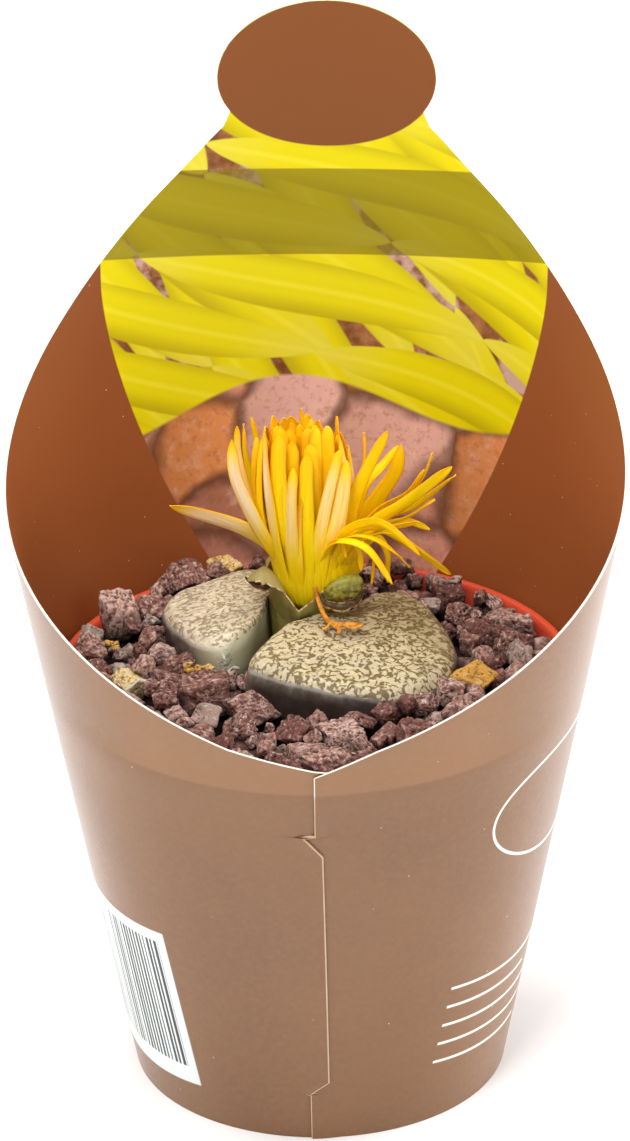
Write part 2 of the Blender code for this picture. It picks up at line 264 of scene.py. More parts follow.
class Finish:
    """A procedural material round one Principled shader. Its constants, such as coat_weight, are
    set on the shader's own sockets."""

    def __init__(self, title, **constants):
        self.material = bpy.data.materials.new(title)
        self.material.use_nodes = True
        self.tree = self.material.node_tree
        self.shader = self.tree.nodes["Principled BSDF"]
        for name, value in constants.items():
            label = name.replace("_", " ").title().replace("Ior", "IOR")
            self.shader.inputs[label].default_value = value
        self.made_place = None

    def node(self, kind, settings=None, inputs=None, output=0):
        """Adds a node, sets it, then gives its sockets their values or links."""
        made = self.tree.nodes.new("ShaderNode" + kind)
        for label, value in (settings or {}).items():
            setattr(made, label, value)
        for label, value in (inputs or {}).items():
            self.feed(made.inputs[label], value)
        return Value(self, made.outputs[output])

    def feed(self, socket, value):
        """Links a value to a socket, or sets a number, a vector or a colour on it."""
        if isinstance(value, Value):
            self.tree.links.new(value.socket, socket)
        elif isinstance(value, (tuple, list)) and len(value) == 3 and socket.type == "RGBA":
            socket.default_value = (*value, 1.0)
        else:
            socket.default_value = value

    def place(self):
        """The point on the surface, in millimetres in the model's frame."""
        if self.made_place is None:
            where = self.node("TexCoord", output="Object")
            self.made_place = self.node("VectorMath", {"operation": "SCALE"}, {0: where, "Scale": 1 / MM})
        return self.made_place

    def axes(self, vector=None):
        """The three parts of a vector, or of the point on the surface."""
        split = self.node("SeparateXYZ", inputs={0: vector or self.place()})
        outputs = split.socket.node.outputs
        return [Value(self, outputs[i]) for i in range(3)]

    def painted(self, label):
        """The number painted on the piece's points under a name."""
        return self.node("Attribute", {"attribute_name": label}, output="Fac")

    def stretched(self, scale, vector=None):
        """A vector, or the point on the surface, scaled along each axis."""
        return self.node("VectorMath", {"operation": "MULTIPLY"}, {0: vector or self.place(), 1: scale})

    def noise(self, size, detail=2.0, rough=0.5, vector=None, output=0):
        """Soft noise, about 0 to 1, whose blotches are so many millimetres wide. Output 1 holds
        three such noises at once."""
        inputs = {"Vector": vector or self.place(), "Scale": 1 / size, "Detail": detail, "Roughness": rough}
        return self.node("TexNoise", None, inputs, output)

    def cells(self, size, vector=None):
        """How far it is to the nearest of many scattered points, as a share of their spacing."""
        return self.node("TexVoronoi", None, {"Vector": vector or self.place(), "Scale": 1 / size})

    def dice(self, whole):
        """A number from 0 to 1, drawn anew for each whole number."""
        return self.node("TexWhiteNoise", {"noise_dimensions": "1D"}, {"W": whole})

    def mix(self, share, low, high):
        """Colour low where share is 0, and high where it is 1."""
        return self.node("Mix", {"data_type": "RGBA"}, {0: share, 6: low, 7: high}, output=2)

    def set(self, label, value):
        self.feed(self.shader.inputs[label], value)

    def colour(self, value):
        self.set("Base Color", value)

    def scatter(self, share, reach):
        """Light scatters below the skin: how much, and its reach in metres for red, green and blue."""
        self.set("Subsurface Weight", share)
        self.set("Subsurface Radius", reach)

    def bump(self, height, depth):
        """Relief of so many millimetres from low (0) to high (1)."""
        self.set("Normal", self.node("Bump", None, {"Height": height, "Distance": depth * MM}))


def srgb(red, green, blue):
    """A colour given in display units of 0 to 255, as the shader's linear colour."""
    def linear(c):
        c /= 255
        return c / 12.92 if c <= 0.04045 else ((c + 0.055) / 1.055) ** 2.4
    return (linear(red), linear(green), linear(blue))


# ---------------------------------------------------------------- the card sleeve's shape

# The card's thickness; the cone's radius at its foot, and how much it grows per millimetre of
# height; then the oval tab, which stands on a neck at the back.
CARD = 0.3
CONE_FOOT = 23.6
CONE_FLARE = 0.187
CONE_SINE = CONE_FLARE / math.hypot(1, CONE_FLARE)
TAB_HALF_WIDTH = 14.2
TAB_HALF_HEIGHT = 9.1
TAB_CENTRE = SLEEVE_HEIGHT - TAB_HALF_HEIGHT
NECK = TAB_CENTRE - 4.3

# The front seam wanders between a hook near the foot and a slit near the top, where the ends of
# the card change places.
SLIT_TOP, SLIT_FOOT = 46.7, 43.8
HOOK_TOP, HOOK_FOOT = 9.0, 7.1
# The end on top stands off the other by LAP and comes down to it over LAP_SPREAD degrees. The end
# below runs on for LAP_UNDER degrees. The cut face has a column of its own, CUT_FACE degrees wide.
LAP = 0.36
LAP_SPREAD = 13.0
LAP_UNDER = 5.0
CUT_FACE = 0.26
# The columns within so many degrees of the front follow the seam.
SEAM_REACH = 15.0

# The card's upper edge from the front to the neck: height, and the angle to both sides.
SHOULDER = [(55.4, 0.0), (65.2, 45.0), (77.1, 90.0), (89.3, 124.0), (102.5, 151.0), (109.3, 162.6)]
EDGE_HEIGHTS, EDGE_ANGLES = zip(*spline(SHOULDER, 12))
# Heights of the level rows, with a thin one where each slit is cut. The rows above them slant more
# and more, up to the edge.
HALF_SLIT = 0.06
LEVEL_ROWS = [
    0.0, 2.5, 5.0, HOOK_FOOT - HALF_SLIT, HOOK_FOOT + HALF_SLIT, 7.7, 8.4, HOOK_TOP, 12.0, 18.0, 26.0,
    34.0, 40.0, SLIT_FOOT, 44.5, 45.3, 46.1, SLIT_TOP - HALF_SLIT, SLIT_TOP + HALF_SLIT, 47.6, 48.6,
    49.6, 50.4, 51.0, 51.5, 52.0, 52.4,
]
SLANT_ROWS = 18
TAB_ROWS = 26
# Columns to each side near the seam, then on to the neck; and those across the neck.
SEAM_COLUMNS, SIDE_COLUMNS, NECK_COLUMNS = 20, 62, 32


def cone_radius(height):
    """The radius of the card's outer face, where it lies true on its cone."""
    return CONE_FOOT + CONE_FLARE * height


def seam(height):
    """(angle of the front seam, whether the right-hand end of the card lies on top there)."""
    if height > SLIT_TOP:
        return 2.2, True
    if height >= SLIT_FOOT:
        return -0.2 + 4.2 * (SLIT_TOP - height) / (SLIT_TOP - SLIT_FOOT), False
    if height >= HOOK_TOP:
        return 4.0 + 1.3 * (SLIT_FOOT - height) / (SLIT_FOOT - HOOK_TOP), False
    if height > HOOK_FOOT:
        return 5.3 * (height - HOOK_FOOT) / (HOOK_TOP - HOOK_FOOT), False
    return 0.0, True


def from_front(degrees):
    """How many degrees an angle is away from the front, to either side."""
    return min(degrees % 360, -degrees % 360)


def edge_height(degrees):
    """The height of the card's upper edge at an angle."""
    return float(np.interp(from_front(degrees), EDGE_ANGLES, EDGE_HEIGHTS))


def card_bulge(degrees, height):
    """How far the card stands off the true cone: it is pressed out by the pot's rim in front."""
    press = 0.2 * smooth_step(RIM_HEIGHT - 6.0, RIM_HEIGHT - 0.6, height)
    press -= 0.3 * smooth_step(RIM_HEIGHT - 0.6, RIM_HEIGHT + 3.0, height)
    return press * (1 - smooth_step(35, 80, from_front(degrees)))


def card_point(degrees, height, lift=0.0):
    """A point of the card, lifted so far off the cone."""
    radius = cone_radius(height) + card_bulge(degrees, height) + lift
    return (*polar(radius, degrees), height)


def seamed_point(column, height):
    """The card's point in the column at an angle. Near the seam the columns slide to follow it."""
    at, right_on_top = seam(height)
    if column <= SEAM_REACH:
        end = at if right_on_top else at - LAP_UNDER
        t = column / SEAM_REACH
        degrees = end * (1 - t) + SEAM_REACH * t
        past, on_top = degrees - at, right_on_top
    elif column >= 360 - SEAM_REACH:
        end = 360 + at + (LAP_UNDER if right_on_top else 0)
        t = (360 - column) / SEAM_REACH
        degrees = end * (1 - t) + (360 - SEAM_REACH) * t
        past, on_top = 360 + at - degrees, not right_on_top
    else:
        return card_point(column, height)
    if not on_top:
        return card_point(degrees, height, -LAP * smooth_step(0, 2.5, -past))
    off_slit = min(abs(height - SLIT_TOP), abs(height - HOOK_FOOT))
    reach = LAP_SPREAD * (0.2 + 0.8 * smooth_step(0.0, 10.0, off_slit))
    return card_point(degrees, height, LAP * (1 - smooth_step(0, reach, past)))


def add_tab(points, faces, below):
    """The oval tab, row by row on the points below it."""
    stretch = len(below) - 1
    start = math.asin((NECK - TAB_CENTRE) / TAB_HALF_HEIGHT)
    for i in range(TAB_ROWS + 1):
        turn = start + (math.pi / 2 - start) * (i / TAB_ROWS) ** 0.85
        height = TAB_CENTRE + TAB_HALF_HEIGHT * math.sin(turn)
        edge = math.degrees(max(0.02, TAB_HALF_WIDTH * math.cos(turn)) / cone_radius(height))
        above = [len(points) + k for k in range(stretch + 1)]
        points += [card_point(180 - edge + 2 * edge * k / stretch, height) for k in range(stretch + 1)]
        faces += [(below[k], below[k + 1], above[k + 1], above[k]) for k in range(stretch)]
        below = above


def make_sleeve(finishes):
    """The card as one sheet, in columns round the cone. The tab stands on the middle columns."""
    neck_angle = EDGE_ANGLES[-1]
    near = [0.0, CUT_FACE] + [SEAM_REACH * i / SEAM_COLUMNS for i in range(1, SEAM_COLUMNS + 1)]
    far = [SEAM_REACH + (neck_angle - SEAM_REACH) * i / SIDE_COLUMNS for i in range(1, SIDE_COLUMNS + 1)]
    middle = [neck_angle + (360 - 2 * neck_angle) * i / NECK_COLUMNS for i in range(1, NECK_COLUMNS)]
    spread = near + far + middle + [360 - a for a in reversed(near + far)]
    points = [seamed_point(a, height) for height in LEVEL_ROWS for a in spread]
    foot = LEVEL_ROWS[-1]
    for i in range(1, SLANT_ROWS + 1):
        share = i / SLANT_ROWS
        points += [seamed_point(a, foot + (edge_height(a) - foot) * share) for a in spread]
    columns = len(spread)
    faces = grid_faces(len(LEVEL_ROWS) + SLANT_ROWS, columns)
    cut = [2 if i % (columns - 1) in (0, columns - 2) else 0 for i in range(len(faces))]
    first = len(points) - columns + len(near + far) - 1
    add_tab(points, faces, list(range(first, first + len(middle) + 2)))
    cut += [0] * (len(faces) - len(cut))
    sleeve = make_piece(
        "sleeve_card", points, faces, finishes, ["display_sleeve"], face_finish=cut
    )
    wall = thicken(sleeve, CARD, offset=-1.0)
    wall.material_offset = 1
    wall.material_offset_rim = 2
    bake_modifiers(sleeve, crease=35)
    return sleeve


# ---------------------------------------------------------------- the card sleeve's print

# The yellow and stony pattern fills a window in the card's inner face, with a darker band across.
WINDOW_TOP = 92.0
WINDOW_HALF_WIDTH = 31.3
BAND_FOOT, BAND_TOP = 92.5, 103.4


def around(finish, centre_degrees):
    """(angle in degrees from a direction round the axis, height), for a finish on the cone."""
    x, y, z = finish.axes()
    turn = math.radians(centre_degrees)
    ahead = x * math.sin(turn) - y * math.cos(turn)
    aside = x * math.cos(turn) + y * math.sin(turn)
    return aside.math("ARCTAN2", ahead) * (180 / math.pi), z


def flat_card(finish, centre_degrees, foot_height):
    """Places on the card as if unrolled flat: millimetres across and up from a centre line."""
    degrees, height = around(finish, centre_degrees)
    from_apex = (height * CONE_FLARE + CONE_FOOT) / CONE_SINE
    turn = degrees * (math.pi / 180 * CONE_SINE)
    foot = (CONE_FOOT + CONE_FLARE * foot_height) / CONE_SINE
    return from_apex * turn.sine(), from_apex * turn.cosine() - foot


def inside_box(across, up, low, high, edge=0.12):
    """1 inside a rectangle with corners low and high, with a soft edge."""
    sideways = across.ramp(low[0] - edge, low[0] + edge) * across.ramp(high[0] + edge, high[0] - edge)
    return sideways * up.ramp(low[1] - edge, low[1] + edge) * up.ramp(high[1] + edge, high[1] - edge)


def oval_reach(across, up, half_width, half_height):
    """0 at the middle of an oval, and 1 on its outline."""
    return ((across * (1 / half_width)) ** 2 + (up * (1 / half_height)) ** 2) ** 0.5


def specks(finish, size, share):
    """Tiny scattered dots."""
    return finish.cells(size).ramp(share, share * 0.6)


def bar_label(finish):
    """(white label, its plain bars), low at the left."""
    across, up = flat_card(finish, -64.7, 4.6)
    label = inside_box(across, up, (-17.0, 0.0), (13.0, 23.1))
    bar_pitch = 0.72
    cell = across * (1 / bar_pitch)
    wide = finish.dice(cell.whole())
    bar = (wide * 0.45 + 0.28 - cell.fraction()).ramp(-0.04, 0.04)
    return label, bar * inside_box(across, up, (-15.2, 2.6), (11.6, 21.5), 0.06)


def oval_and_rules(finish):
    """Fine pale lines at the right: an oval outline, and plain rules of uneven length below it."""
    across, up = flat_card(finish, 75.0, 42.5)
    half_width, half_height = 16.5, 7.8
    oval = oval_reach(across, up, half_width, half_height)
    slope = oval_reach(across, up, half_width**2, half_height**2) / oval
    outline = (abs(oval - 1) / slope).ramp(0.25, 0.15)
    rule_pitch = 2.8
    row = up * (1 / rule_pitch) + 14.0
    line = abs(row.fraction() - 0.5).ramp(0.085, 0.06)
    right_end = (across - finish.dice(row.whole()) * 6.0).ramp(0.2, 0.0)
    return outline.most(line * inside_box(across, up, (-17.1, -36.4), (6.0, -22.4)) * right_end)


def outside_card():
    """Plain brown card with a glossy coat, a label and fine lines."""
    gloss = {"coat_weight": 1.0, "coat_roughness": 0.26, "coat_ior": 1.6, "specular_ior_level": 0.0}
    finish = Finish("card_outside", **gloss)
    tone = finish.noise(26.0, 3.0)
    fibre = finish.noise(0.7, 4.0, 0.65)
    colour = finish.mix(tone.ramp(0.25, 0.75), srgb(112, 71, 33), srgb(121, 79, 39))
    colour = finish.mix(fibre.ramp(0.35, 0.75) * 0.22, colour, srgb(146, 102, 58))
    # The card is pressed out by the pot's rim: above the crease a painted highlight makes it lighter.
    degrees, height = around(finish, 0.0)
    crease = height - 53.0 - (degrees * degrees) * 0.0004
    lit = crease.ramp(-0.25, 0.25) * abs(degrees).ramp(56.0, 30.0)
    colour = finish.mix(lit * 0.35, colour, srgb(163, 116, 74))
    colour = finish.mix(specks(finish, 3.4, 0.035) * 0.7, colour, srgb(220, 205, 190))
    colour = finish.mix(oval_and_rules(finish) * 0.92, colour, srgb(240, 234, 222))
    label, bars = bar_label(finish)
    colour = finish.mix(label, colour, srgb(216, 221, 219))
    finish.colour(finish.mix(bars, colour, srgb(30, 30, 32)))
    finish.set("Roughness", finish.noise(9.0, 3.0) * 0.10 + 0.36)
    finish.bump(fibre, 0.012)
    return finish.material


def leaf_rows(finish, across, height, turn, pitch, length, shift):
    """1 on slim leaves that lie in slanting rows, with the place across each leaf (-1 to 1)."""
    lean = math.radians(turn)
    bend = (across * 0.07 + shift).sine() * 2.2
    over = height * math.cos(lean) - across * math.sin(lean) + bend
    along = across * math.cos(lean) + height * math.sin(lean)
    row = over * (1 / pitch) + shift
    beside = (row.fraction() - 0.5) * 2
    step = along * (1 / length) + finish.dice(row.whole()) * 5
    reach = (step.fraction() - 0.5) * 2
    width = (1 - reach * reach).most(0.0) ** 0.7 * 0.88
    return (width - abs(beside)).ramp(-0.03, 0.05), beside, reach


# Turn in degrees, pitch and length in millimetres, and shift of each layer of printed leaves.
PRINTED_LEAVES = [(62.0, 8.6, 50.0, 0.2), (38.0, 9.4, 44.0, 0.63), (18.0, 7.6, 48.0, 0.41)]


def pebble_bed(finish, across, height, fine, broad):
    """Rounded printed pebbles in soft pinks and oranges, lit from the left, with dark joints."""
    pebble = finish.node("CombineXYZ", None, {0: across + broad * 5.0, 1: height + broad * 4.0, 2: 0.0})
    size = {"Vector": pebble, "Scale": 1 / 13.0, "Randomness": 0.85}
    joint = finish.node("TexVoronoi", {"feature": "DISTANCE_TO_EDGE"}, size)
    tint = finish.node("TexVoronoi", None, size, output=1)
    heart = finish.node("TexVoronoi", None, size, output=2)
    from_heart = finish.node("VectorMath", {"operation": "SUBTRACT"}, {0: pebble, 1: heart})
    light = finish.axes(from_heart)[0] * -0.05
    luck = finish.axes(tint)[0]
    stone = finish.mix(luck.ramp(0.2, 0.5), srgb(222, 158, 140), srgb(222, 142, 84))
    stone = finish.mix(luck.ramp(0.55, 0.75), stone, srgb(228, 176, 162))
    stone = finish.mix(luck.ramp(0.30, 0.18) * 0.6, stone, srgb(150, 92, 58))
    stone = finish.mix(fine.ramp(0.45, 0.75) * 0.6, stone, srgb(240, 192, 160))
    stone = finish.mix(finish.noise(1.2, 3.0, 0.7).ramp(0.5, 0.70) * 0.4, stone, srgb(160, 90, 48))
    stone = finish.mix((0.5 + light).ramp(0.75, 0.1) * 0.35, stone, srgb(130, 74, 40))
    return finish.mix(joint.ramp(0.12, 0.0) * 0.8, stone, srgb(92, 54, 34))


def dune_print(finish, across, height):
    """A plain printed pattern: rows of slim yellow leaves above a bed of rounded pebbles."""
    fine = finish.noise(2.2, 4.0, 0.6)
    broad = finish.noise(9.0, 3.0, 0.6)
    colour = finish.mix(fine.ramp(0.3, 0.8), srgb(112, 62, 26), srgb(176, 118, 74))
    rosy = (broad + (fine - 0.5) * 0.3).ramp(0.50, 0.62) * 0.85
    colour = finish.mix(rosy, colour, srgb(208, 170, 156))
    for layer in PRINTED_LEAVES:
        leaf, beside, reach = leaf_rows(finish, across, height, *layer)
        yellow = finish.mix(abs(beside - 0.1).ramp(1.0, 0.3), srgb(190, 170, 2), srgb(226, 208, 0))
        yellow = finish.mix(abs(beside).ramp(0.16, 0.0) * 0.3, yellow, srgb(246, 232, 70))
        yellow = finish.mix(abs(reach).ramp(0.5, 1.0) * 0.35, yellow, srgb(214, 206, 96))
        colour = finish.mix(leaf, colour, yellow)
    swell = (across * 0.13 + 0.9).sine() * 2.6
    stone = pebble_bed(finish, across, height, fine, broad)
    return finish.mix((height - swell - 74.5).ramp(-0.3, 0.3), stone, colour)


def inside_card():
    """Reddish brown card with the printed window and band, and a plain brown tab."""
    finish = Finish("card_inside", specular_ior_level=0.22)
    degrees, height = around(finish, 180.0)
    radius = height * CONE_FLARE + CONE_FOOT
    across = degrees * radius * (math.pi / 180)
    colour = dune_print(finish, across, height)
    arch = height - degrees * degrees * 0.0016
    band = arch.ramp(BAND_FOOT - 0.1, BAND_FOOT + 0.1) * arch.ramp(BAND_TOP + 0.1, BAND_TOP - 0.1)
    colour = finish.mix(band * 0.75, colour, srgb(125, 107, 6))
    below = (WINDOW_TOP - height).most(0.0)
    reach = WINDOW_HALF_WIDTH * (1 - (below ** 1.5) * 0.00214)
    window = (reach - abs(across)).ramp(-0.12, 0.12)
    reddish = finish.mix(finish.noise(30.0, 2.0), srgb(142, 75, 36), srgb(154, 87, 46))
    reddish = finish.mix(height.ramp(66.0, 96.0) * 0.22, reddish, srgb(96, 50, 24))
    reddish = finish.mix(specks(finish, 2.2, 0.05), reddish, srgb(224, 180, 150))
    colour = finish.mix(window, reddish, colour)
    tab = oval_reach(across, height - TAB_CENTRE, TAB_HALF_WIDTH, TAB_HALF_HEIGHT).ramp(1.01, 0.99)
    finish.colour(finish.mix(tab, colour, srgb(130, 75, 36)))
    finish.set("Roughness", finish.noise(12.0, 2.0) * 0.12 + 0.36)
    finish.bump(finish.noise(0.8, 3.0), 0.010)
    return finish.material


def card_edge():
    """The cut edge: white along the top, brown down the front seam."""
    finish = Finish("card_cut_edge", roughness=0.8)
    x, y, z = finish.axes()
    white = finish.mix(finish.noise(0.5, 3.0), srgb(236, 230, 220), srgb(212, 202, 188))
    seam_brown = finish.mix(finish.noise(3.0, 3.0), srgb(214, 188, 160), srgb(176, 138, 102))
    seam_side = abs(x).ramp(4.5, 4.0) * y.ramp(0.0, -1.0) * z.ramp(53.2, 52.4)
    finish.colour(finish.mix(seam_side, white, seam_brown))
    return finish.material


# ---------------------------------------------------------------- the pot and the soil

# Radius and height: up the outside, over the rim and down the inside.
POT_PROFILE = [
    (20.9, 0.0), (21.3, 0.15), (21.5, 0.6), (25.8, 23.0), (29.95, 45.2), (30.2, 45.55), (31.0, 45.8),
    (31.2, 46.1), (31.7, 49.2), (32.28, 52.4), (32.3, 52.8), (32.12, 53.1), (31.8, 53.2), (31.5, 53.14),
    (31.25, 52.9), (31.1, 52.3), (30.6, 49.4), (30.2, 46.6), (29.6, 46.1), (29.1, 45.7), (25.0, 24.0),
    (20.5, 1.6), (20.2, 1.25), (19.6, 1.2),
]
DRAIN_COUNT = 6
DRAIN_RING = 13.0
DRAIN_RADIUS = 2.5


def red_plastic():
    """Dusty red plastic, thin enough to let a little light in."""
    finish = Finish("red_plastic", roughness=0.34, specular_ior_level=0.5)
    streak = finish.noise(6.0, 3.0, vector=finish.stretched((1.0, 1.0, 0.25)))
    dust = finish.noise(1.6, 5.0, 0.7).ramp(0.52, 0.78)
    colour = finish.mix(streak, srgb(206, 66, 42), srgb(226, 88, 60))
    colour = finish.mix(dust * 0.35, colour, srgb(196, 140, 116))
    finish.colour(colour)
    finish.set("Roughness", dust * 0.3 + 0.30)
    finish.scatter(0.12, (0.002, 0.0006, 0.0004))
    finish.bump(finish.noise(0.6, 3.0), 0.02)
    return finish.material


def drain_cutter():
    """Short rods that stand where the pot's floor has its drain holes."""
    builder = bmesh.new()
    for i in range(DRAIN_COUNT):
        middle = polar(DRAIN_RING, 360 * (i + 0.5) / DRAIN_COUNT)
        place = Matrix.Translation((middle.x * MM, middle.y * MM, 0.0))
        bmesh.ops.create_cone(
            builder, cap_ends=True, segments=32, radius1=DRAIN_RADIUS * MM, radius2=DRAIN_RADIUS * MM,
            depth=6 * MM, matrix=place,
        )
    mesh = bpy.data.meshes.new("drain_cutter")
    builder.to_mesh(mesh)
    builder.free()
    return put_in_scene("drain_cutter", mesh)


def make_pot(finish):
    """The pot with its folded rim and its drain holes."""
    points, faces = loft([ring(radius, height, 144) for radius, height in POT_PROFILE])
    pot = make_piece("pot_red", points, faces, [finish], ["nursery_pot"])
    cutter = drain_cutter()
    cut = pot.modifiers.new("drains", "BOOLEAN")
    cut.operation = "DIFFERENCE"
    cut.object = cutter
    bake_modifiers(pot, crease=40)
    bpy.data.objects.remove(cutter)
    return pot


def dark_soil():
    """Dark crumbly soil."""
    finish = Finish("potting_soil", roughness=0.95)
    crumbs = finish.cells(1.1)
    finish.colour(finish.mix(finish.noise(2.0, 5.0, 0.7), srgb(38, 26, 19), srgb(82, 60, 46)))
    finish.bump(crumbs, 0.5)
    return finish.material


def dry_bark():
    """Papery brown skin round the foot of the plant."""
    finish = Finish("root_bark", roughness=0.85)
    papery = finish.noise(1.4, 5.0, 0.7, finish.stretched((1.0, 1.0, 0.3)))
    finish.colour(finish.mix(papery, srgb(106, 78, 50), srgb(176, 146, 104)))
    finish.bump(papery, 0.3)
    return finish.material


# ---------------------------------------------------------------- stones and gravel

def stone_finish(name, dark, mid, pale, pit_and_shade_colour):
    """A rough pitted stone: its pits, its rough skin, a tint of its own, and how low and how tucked in each
    point sits are painted on its points; the finish makes a painted highlight on the ridges and painted
    shade in the hollows, low sides and nooks.
    """
    finish = Finish(name, roughness=0.9, specular_ior_level=0.2)
    pits = finish.painted("pit")
    tint = finish.painted("tint")
    rise = finish.painted("rise")
    _, y, z = finish.axes()
    grain = finish.noise(0.30, 4.0, 0.75)
    patch = finish.noise(1.7, 3.0, 0.6)
    holes = finish.cells(0.46).ramp(0.34, 0.14) * finish.noise(1.0, 2.0).ramp(0.40, 0.58)
    colour = finish.mix((patch * 0.5 + tint * 0.9).ramp(0.25, 1.05), dark, mid)
    # Paler where tone, grain and tint run high; on the ridges of the rough skin this is a painted highlight.
    light = rise * 0.34 + grain * 0.60 + patch * 0.12 + tint * 0.26
    colour = finish.mix(light.ramp(0.58, 0.98), colour, pale)
    # Dark in the holes; the dips of the grain and the low parts of the rough skin get painted shade.
    worn = (holes * 0.7).most((0.46 - grain).ramp(0.0, 0.16) * 0.42)
    worn = worn.most((0.34 - rise).ramp(0.0, 0.34) * 0.5)
    colour = finish.mix(worn, colour, pit_and_shade_colour)
    colour = finish.mix((pits * 1.1).least(1.0), colour, pit_and_shade_colour)
    # Painted shade: darker on each stone's underside, deeper down in the gravel and further back, and in the
    # nooks against its neighbours.
    deep = z - y.most(0.0) * 0.05
    shade = finish.painted("under").most(deep.ramp(53.6, 51.0)).most(finish.painted("nook"))
    finish.colour(finish.mix(shade * 0.86, colour, srgb(22, 11, 9)))
    finish.bump(grain * 0.8 + (1 - holes) * 0.6, 0.5)
    return finish.material


def sphere_points(detail):
    """Directions and triangles of an even sphere."""
    builder = bmesh.new()
    bmesh.ops.create_icosphere(builder, subdivisions=detail, radius=1.0)
    directions = np.array([v.co[:] for v in builder.verts])
    triangles = [tuple(v.index for v in face.verts) for face in builder.faces]
    builder.free()
    return directions, triangles


# How many pits are pecked into a stone, by the detail of its mesh.
PIT_COUNTS = {3: 5, 4: 16, 5: 60}
SPHERES = {detail: sphere_points(detail) for detail in PIT_COUNTS}
# Waves over a stone's surface, coarse to fine: length and depth in millimetres.
ROUGHNESS = [(2.6, 0.10), (1.1, 0.032), (0.6, 0.032), (0.36, 0.022)]
WAVES_EACH = 10
# A stone is broken to six sides, which stand roughly square to each other, and three more.
BLOCK_SIDES, BROKEN_SIDES = 6, 3


def heading(luck):
    """A random direction."""
    way = np.array([luck.gauss(0, 1) for _ in range(3)])
    return way / np.linalg.norm(way)


def stone_shape(centre, size, detail, luck):
    """(points, pits, ridges, triangles) of one broken stone: flat chipped faces, a rough skin."""
    directions, triangles = SPHERES[detail]
    radius = sum(size) / 6
    block = np.array(Matrix.Rotation(luck.uniform(0, 6.28), 3, Vector(heading(luck))))
    crowd = np.zeros(len(directions))
    for k in range(BLOCK_SIDES + BROKEN_SIDES):
        if k < BLOCK_SIDES:
            way = block[k % 3] * (1 if k < 3 else -1) + 0.22 * heading(luck)
            distance = luck.uniform(0.60, 0.95)
        else:
            way = heading(luck)
            distance = luck.uniform(0.85, 1.05)
        crowd += (np.maximum(directions @ way, 0.0) / distance / np.linalg.norm(way)) ** 30
    reach = np.minimum(crowd ** (-1 / 30), 1.3)
    rise = np.zeros(len(directions))
    for length, depth in ROUGHNESS[:detail - 1]:
        wave = np.zeros(len(directions))
        pitch = 2 * math.pi * radius / length
        for _ in range(WAVES_EACH):
            along = directions @ heading(luck) * pitch * luck.uniform(0.8, 1.3)
            wave += np.sin(along + luck.uniform(0, 6.28))
        wave /= 2.2
        reach += depth / radius * wave
        if length < 2:
            rise += wave * 0.2
    rise += 0.5
    pits = np.zeros(len(directions))
    for _ in range(PIT_COUNTS[detail]):
        near = 2 - 2 * (directions @ heading(luck))
        width = luck.uniform(0.12, 0.34) / radius
        pits = np.maximum(pits, np.exp(-near / width**2) * luck.uniform(0.4, 1.0))
    reach -= 0.22 / radius * pits
    body = directions * reach[:, None]
    body *= (np.array(size) / 2) / np.abs(body).max(0)
    return body + np.array(centre), pits, rise, triangles


def nooks(body, own_centre, crowd):
    """How deep each point of a stone sits against its neighbours, 0 to 1."""
    centres, radii = crowd
    apart = np.linalg.norm(centres - own_centre, axis=1)
    reach = np.abs(body - own_centre).max()
    close = (apart > 0.7) & (apart < radii + reach * 1.5)
    if not close.any():
        return np.zeros(len(body))
    gaps = np.linalg.norm(body[:, None, :] - centres[close][None], axis=2) / radii[close][None]
    return 1 - np.clip((gaps.min(1) - 0.90) / 0.32, 0, 1)


def join_stones(name, stones, finish, crowd, replaces=()):
    """One piece from several stones, each (points, pits, ridges, triangles, tint)."""
    points, faces = [], []
    painted = {"pit": [], "rise": [], "tint": [], "under": [], "nook": []}
    for body, pits, ridges, triangles, tint in stones:
        gather(points, faces, [tuple(p) for p in body], triangles)
        low, high = body.min(0), body.max(0)
        levels = (body[:, 2] - low[2]) / (high[2] - low[2])
        painted["pit"] += list(pits)
        painted["rise"] += list(ridges)
        painted["tint"] += [tint] * len(body)
        # How low each point sits on its stone and how tucked in it is among its neighbours: the finish
        # paints shade there.
        painted["under"] += [1 - smooth_step(0.12, 0.60, level) for level in levels]
        painted["nook"] += list(nooks(body, (high + low) / 2, crowd))
    return make_piece(name, points, faces, [finish], replaces, painted)


STONE_SLOTS = {"lava": "lava_gravel", "ochre": "ochre_stone", "pale": "pale_stone"}
# How much larger than its CAD node a stone is made; the top stays nearly where it is.
STONE_GROWTH = {"lava": 1.28, "ochre": 1.42, "pale": 1.15}
STONE_SHIFT = {"ochre_stone_02": (0.3, -1.4, 0.5), "ochre_stone_03": (-2.1, -0.3, 1.3)}


def named_stones():
    """Node name, kind, middle and size of each stone that has a CAD node of its own."""
    found = []
    for node in sorted(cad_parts):
        kind = node.split("_")[0]
        if kind in STONE_SLOTS:
            low, high = node_box(node)
            size = (high - low) * STONE_GROWTH[kind]
            middle = (low + high) / 2
            middle.z = high.z + 0.3 - size.z / 2
            middle += Vector(STONE_SHIFT.get(node, (0, 0, 0)))
            found.append((node, kind, middle, size))
    return found


def make_named_stones(finishes, crowd):
    """One piece for each stone that has a CAD node of its own."""
    for node, kind, middle, size in named_stones():
        luck = random.Random(node)
        shape = stone_shape(middle, size, 5 if max(size) > 5.5 else 4, luck)
        stones = [(*shape, luck.random())]
        join_stones(f"pitted_{node}", stones, finishes[kind], crowd, [node])


# ---------------------------------------------------------------- the leaves

PLANT_CENTRE = Vector((-1.0, 3.5))
